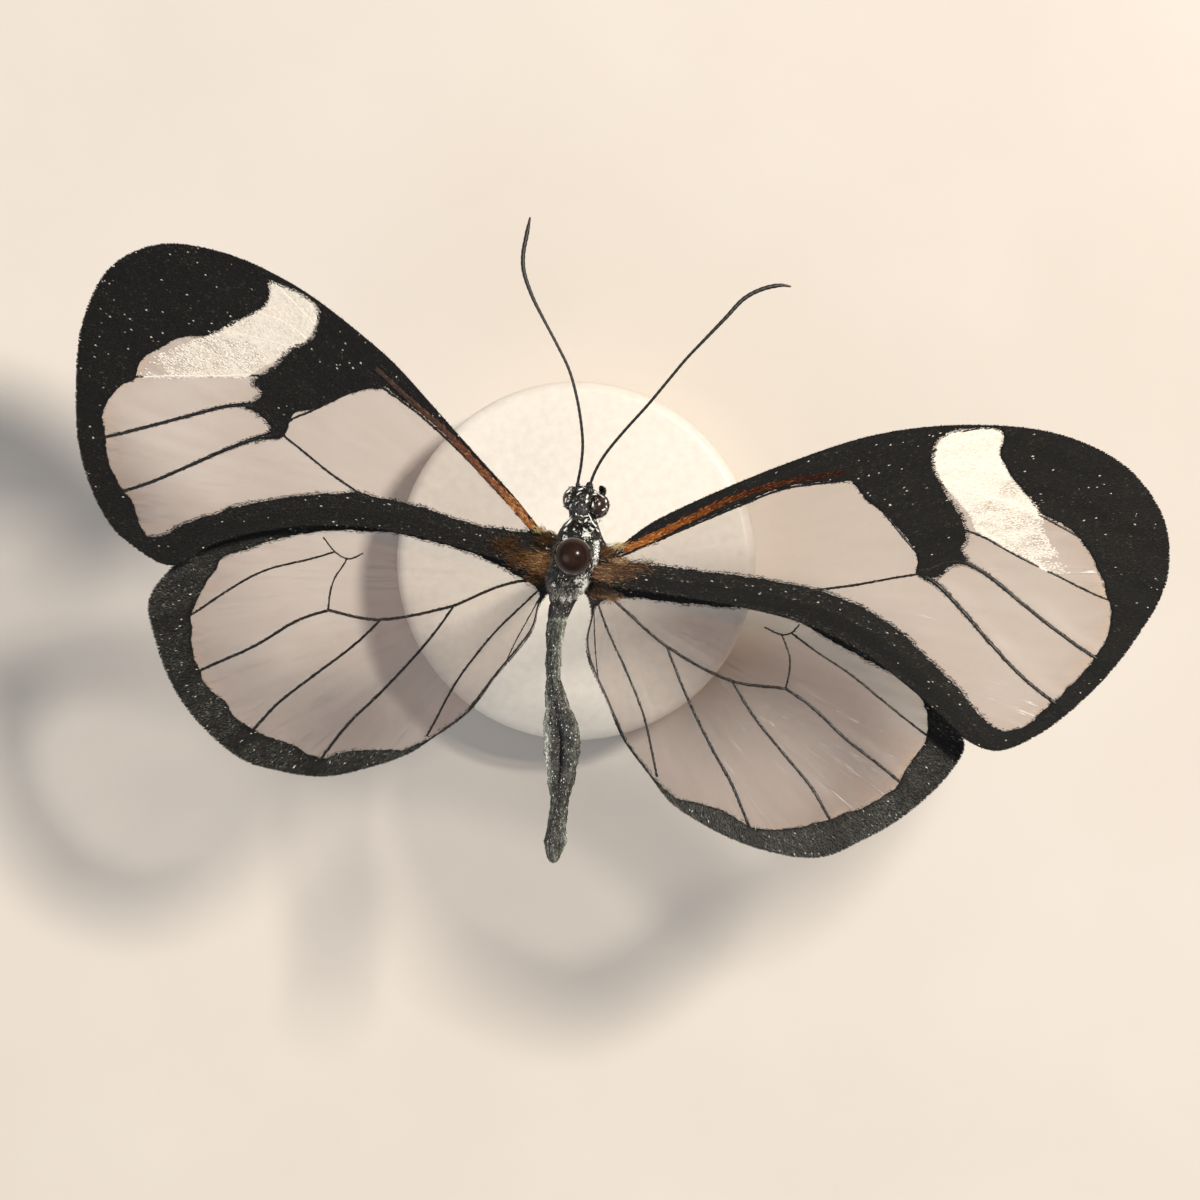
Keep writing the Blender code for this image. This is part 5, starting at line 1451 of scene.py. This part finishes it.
def build_eye_rim(side, sign, looks, rng):
    """Scales that stand round an eye and lap over its edge: places on a ring of the eye's surface at
    an angle from its outward axis, each scale lying towards that axis."""
    count = EYE_RIM_SCALES
    turn = rng.uniform(0, 2 * np.pi, count)
    off = np.radians(rng.uniform(58, 118, count))
    radii = np.array(EYE_RADII)
    axis = np.array([sign * math.cos(EYE_TILT), 0.0, math.sin(EYE_TILT)])
    upright = np.array([-sign * math.sin(EYE_TILT), 0.0, math.cos(EYE_TILT)])
    around = np.cos(turn)[:, None] * np.array([0.0, 1.0, 0.0]) + np.sin(turn)[:, None] * upright
    spot = np.cos(off)[:, None] * axis + np.sin(off)[:, None] * around
    towards = np.sin(off)[:, None] * axis - np.cos(off)[:, None] * around
    centre = np.array(EYE_OFFSET) * (sign, 1, 1)
    out = on_head(spot / radii) - on_head((0, 0, 0))
    lie = on_head(towards * radii) - on_head((0, 0, 0))
    lie += rng.normal(0, 0.15, (count, 3))
    root = on_head(centre + spot * radii)
    pale = rng.random(count) < np.where(off < math.radians(66), 0.35, 0.04)
    length = np.where(pale, rng.uniform(0.13, 0.2, count), rng.uniform(0.07, 0.12, count))
    lift = rng.uniform(0.01, 0.04, count)
    tone = np.where(pale, rng.uniform(0.75, 1.0, count), rng.beta(1.5, 6, count))
    put_scales("eye_rim_" + side, looks["coat"], root, unit(lie) + unit(out) * 0.2, unit(out),
               (length, 0.045, lift), tone, np.column_stack([turn / (2 * np.pi), off / np.pi]))


def build_strokes(looks, rng):
    """Bright strokes: a small sheaf of long narrow scales along each, on top of the skin and the eyes.
    Each end takes the height of the highest point of skin or eye close to it, or else of the nearest."""
    share, angle = np.meshgrid(np.linspace(0, share_at(THORAX_END), 260), np.linspace(0, np.pi, 90),
                               indexing="ij")
    shells = [body_point(share, angle).reshape(-1, 3)]
    for sign in (-1, 1):
        shells.append(on_head(ellipsoid((sign * EYE_OFFSET[0], *EYE_OFFSET[1:]), EYE_RADII, 40, 60)[0]))
    shell = np.vstack(shells)
    ends = np.repeat(np.array(WHITE_STROKES), STROKE_SCALES, axis=0)
    count = len(ends)
    start = ends[:, :2] + rng.normal(0, 0.022, (count, 2))
    stop = ends[:, 2:] + rng.normal(0, 0.022, (count, 2))
    heights = []
    for place in (start, stop):
        away = np.linalg.norm(place[:, None] - shell[None, :, :2], axis=2)
        heights.append(np.where(away < 0.06, shell[:, 2], -1.0).max(axis=1))
        lost = heights[-1] < 0
        heights[-1][lost] = shell[away[lost].argmin(axis=1), 2]
    root = np.column_stack([start, heights[0] + rng.uniform(0.02, 0.06, count)])
    tip = np.column_stack([stop, heights[1] + rng.uniform(0.04, 0.09, count)])
    along = tip - root
    up = unit(np.cross(unit(np.cross(along, np.array([0.0, 0.0, 1.0]))), along))
    put_scales("white_strokes", looks["coat"], root, along, up,
               (np.linalg.norm(along, axis=1), 0.045, 0.01), rng.uniform(0.78, 1.0, count), from_above(root))


def build_feeler(side, looks):
    """A feeler: two thick base segments, a shaft of short rings and a slender club."""
    line = smooth_curve(ANTENNA_LEFT if side == "left" else ANTENNA_RIGHT, 0.045)
    share = np.linspace(0, 1, len(line))
    radius = np.interp(share, [0, 0.008, 0.016, 0.020, 0.028, 0.034, 0.60, 0.80, 0.95, 1.0],
                       [0.15, 0.16, 0.14, 0.10, 0.13, 0.080, 0.078, 0.115, 0.12, 0.05])
    radius = radius * (1 - 0.12 * np.abs(np.cos(np.pi * share * 46)) ** 6)
    sides = 12
    points, faces = tube(line, radius, sides)
    tip = 1.0 if side == "right" else 0.4
    tone = np.append(np.repeat(np.clip((share - 0.93) * 14, 0, 1) * tip, sides), [0.1, tip])
    put_mesh("feeler_" + side, points, faces, looks["antenna"], ("antenna_" + side,), shade=tone)


def build_palp(side, sign, looks, rng):
    """A palp of two joints with a brush of stiff scales along it."""
    line = smooth_curve(on_head(np.array(PALP_PATH) * (sign, 1, 1)), 0.03)
    share = np.linspace(0, 1, len(line))
    radius = np.interp(share, [0, 0.3, 0.6, 0.66, 1.0], [0.14, 0.16, 0.14, 0.10, 0.04])
    points, faces = tube(line, radius, 12)
    put_mesh("palp_core_" + side, points, faces, looks["cuticle"], ("palp_" + side,),
             shade=np.full(len(points), 0.05))
    count = PALP_SCALES
    at, ahead, around, root = round_line(line, radius * 0.95, (1, 1), count, rng)
    length = rng.uniform(0.08, 0.16, count)
    tone = np.where(rng.random(count) < 0.08, rng.uniform(0.6, 1, count), 0.1)
    put_scales("palp_scales_" + side, looks["coat"], root, ahead + around * 0.35, around,
               (length, 0.035, 0.02), tone, np.column_stack([at / len(line), rng.random(count)]))


def round_line(line, radius, ends, count, rng):
    """Places at random on a tube, clear of its ends: their steps along it, the way ahead, the way out
    and the places."""
    at = rng.integers(ends[0], len(line) - ends[1], count)
    ahead = unit(np.gradient(line, axis=0)[at])
    around = unit(np.cross(ahead, rng.normal(0, 1, (count, 3))))
    return at, ahead, around, line[at] + around * radius[at][:, None]


def build_head_parts(looks):
    """Eyes with a pale rim of scales, feelers, palps and the coiled proboscis."""
    rng = np.random.default_rng(81)
    for side, sign in (("left", -1), ("right", 1)):
        points, faces = ellipsoid((sign * EYE_OFFSET[0], *EYE_OFFSET[1:]), EYE_RADII, 48, 64)
        put_mesh("eye_ball_" + side, on_head(points), faces, looks["eye"], ("eye_" + side,))
        build_eye_rim(side, sign, looks, rng)
        build_feeler(side, looks)
        build_palp(side, sign, looks, rng)
    build_strokes(looks, rng)
    steps = 150
    turn = np.linspace(0, 2 * np.pi * 2.2, steps)
    radius = np.linspace(0.48, 0.14, steps)
    coil = np.column_stack([0.02 * np.sin(turn * 3), radius * np.sin(turn), radius * np.cos(turn)])
    points, faces = tube(coil + HEAD_CENTRE + COIL_CENTRE, np.linspace(0.075, 0.05, steps), 10)
    put_mesh("proboscis_coil", points, faces, looks["vein"], ("proboscis",),
             shade=np.full(len(points), 0.55))


def build_legs(looks):
    """Folded legs: femur, tibia and foot in one tapered tube, narrow at each joint, with short spines."""
    rng = np.random.default_rng(91)
    for side, sign in (("left", -1), ("right", 1)):
        for name, (middle, places) in LEG_PATHS.items():
            line = smooth_curve([(middle + sign * x, y, BODY_HEIGHT + z) for x, y, z in places], 0.05)
            share = np.linspace(0, 1, len(line))
            radius = np.interp(share, [0, 0.2, 0.42, 0.46, 0.60, 0.72, 0.75, 0.9, 1.0],
                               [0.16, 0.19, 0.13, 0.11, 0.12, 0.10, 0.075, 0.07, 0.05])
            _, ahead, around, root = round_line(line, radius * 0.8, (3, 2), LEG_SPINES, rng)
            spines = hairs(root, root + around * 0.05 + ahead * 0.09, np.zeros(3), 0.012)
            points, faces = join([tube(line, radius, 10), spines])
            put_mesh(f"{name}_limb_{side}", points, faces, looks["antenna"], (f"{name}_{side}",),
                     shade=np.full(len(points), 0.5))


def build_stand(looks):
    """The pin, its bead and the plain base."""
    edge = np.linspace(0, np.pi / 2, 9)
    inner = BASE_RADIUS - BASE_ROUND
    floor = BASE_HEIGHT - BASE_HOLE_DEPTH
    profile = [(0, 0), (inner, 0)]
    profile += [(inner + BASE_ROUND * math.sin(a), BASE_ROUND - BASE_ROUND * math.cos(a)) for a in edge[1:]]
    profile += [(inner + BASE_ROUND * math.cos(a), BASE_HEIGHT - BASE_ROUND + BASE_ROUND * math.sin(a))
                for a in edge]
    profile += [(BASE_HOLE_RADIUS + HOLE_BEVEL, BASE_HEIGHT), (BASE_HOLE_RADIUS, BASE_HEIGHT - HOLE_BEVEL),
                (BASE_HOLE_RADIUS, floor), (0, floor)]
    points, faces = turned(profile, 160)
    base = put_mesh("stand_plinth", points, faces, looks["stand"], ("stand_base",))
    base.data.set_sharp_from_angle(angle=math.radians(40))
    top = PIN_HIGH + 0.5
    shaft = [(0, PIN_LOW), (PIN_POINT_RADIUS, PIN_LOW), (PIN_RADIUS, PIN_LOW + PIN_POINT_LENGTH),
             (PIN_RADIUS, 20), (PIN_RADIUS, PIN_HIGH), (PIN_RADIUS * 0.6, top), (0, top)]
    points, faces = turned(shaft, 48)
    put_mesh("pin_wire", points, faces, looks["steel"], ("pin_shaft",))
    points, faces = ellipsoid((0, 0, BEAD_MIDDLE), (BEAD_RADIUS,) * 3, 64, 96)
    put_mesh("pin_bead", points, faces, looks["bead"], ("pin_head",))


# Stage, in metres

FLOOR_HALF = 1.5
LIGHT_TARGET = (0, 0, 0.02)


def build_camera():
    """A camera straight above, with the photograph's frame at the wings' plane."""
    data = bpy.data.cameras.new("camera")
    data.sensor_width = SENSOR
    data.lens = SENSOR * VIEW_DISTANCE / (PIXEL * PHOTO_SIDE)
    data.clip_start = 0.01
    data.clip_end = 5.0
    camera = bpy.data.objects.new("camera", data)
    camera.location = (VIEW_MIDDLE[0] * MM, VIEW_MIDDLE[1] * MM, (VIEW_PLANE + VIEW_DISTANCE) * MM)
    bpy.context.scene.collection.objects.link(camera)
    bpy.context.scene.camera = camera


def add_light(name, place, target, size, watts, colour):
    """A round area light that faces a target, its place and size in metres."""
    data = bpy.data.lights.new(name, "AREA")
    data.shape = "DISK"
    data.size = size
    data.energy = watts
    data.color = linear(colour)[:3]
    light = bpy.data.objects.new(name, data)
    light.location = place
    direction = np.array(target) - np.array(place)
    yaw = math.atan2(direction[1], direction[0])
    pitch = math.atan2(math.hypot(direction[0], direction[1]), -direction[2])
    light.rotation_euler = (pitch, 0, yaw - math.pi / 2)
    bpy.context.scene.collection.objects.link(light)


def build_stage(looks):
    """Pale floor, soft key and fill lights and an even sky."""
    mesh = bpy.data.meshes.new("floor")
    corners = [(-FLOOR_HALF, -FLOOR_HALF, 0), (FLOOR_HALF, -FLOOR_HALF, 0), (FLOOR_HALF, FLOOR_HALF, 0),
               (-FLOOR_HALF, FLOOR_HALF, 0)]
    mesh.from_pydata(corners, [], [(0, 1, 2, 3)])
    mesh.materials.append(looks["floor"])
    floor = bpy.data.objects.new("floor", mesh)
    bpy.context.scene.collection.objects.link(floor)
    add_light("key", (0.17, 0.12, 0.36), LIGHT_TARGET, 0.07, 1.9, "fff3e4")
    add_light("fill", (-0.30, -0.10, 0.30), LIGHT_TARGET, 0.30, 0.5, "eef3ff")
    world = bpy.data.worlds.new("sky")
    world.use_nodes = True
    sky = world.node_tree.nodes["Background"]
    sky.inputs["Color"].default_value = linear("f3f1ee")
    sky.inputs["Strength"].default_value = 0.30
    bpy.context.scene.world = world
    bpy.context.scene.view_settings.view_transform = "Standard"


def main():
    """Builds every piece, the stage and the camera."""
    build_camera()
    looks = {
        "cuticle": chitin_cuticle(),
        "membrane": clear_membrane(),
        "fore_cover": dark_wing_cover("black_wing_scales", [
            (0.3, "060505"), (0.6, "0b0a09"), (0.85, "161412")]),
        "hind_cover": dark_wing_cover("smoky_wing_scales", [
            (0.3, "0a0908"), (0.6, "151412"), (0.85, "24221e")]),
        "band": white_band_cover(),
        "vein": vein_chitin(),
        "eye": eye_lens(),
        "antenna": antenna_chitin(),
        "bead": bead_enamel(),
        "steel": drawn_steel(),
        "stand": stand_resin(),
        "floor": floor_paper(),
    }
    looks.update({key: shaded_scales(*values) for key, values in SCALE_LOOKS.items()})
    for order, name in enumerate(WINGS):
        build_wing(name, looks, 100 + 40 * order)
    build_body(looks)
    build_root_tufts(looks)
    build_head_parts(looks)
    build_legs(looks)
    build_stand(looks)
    build_stage(looks)


main()
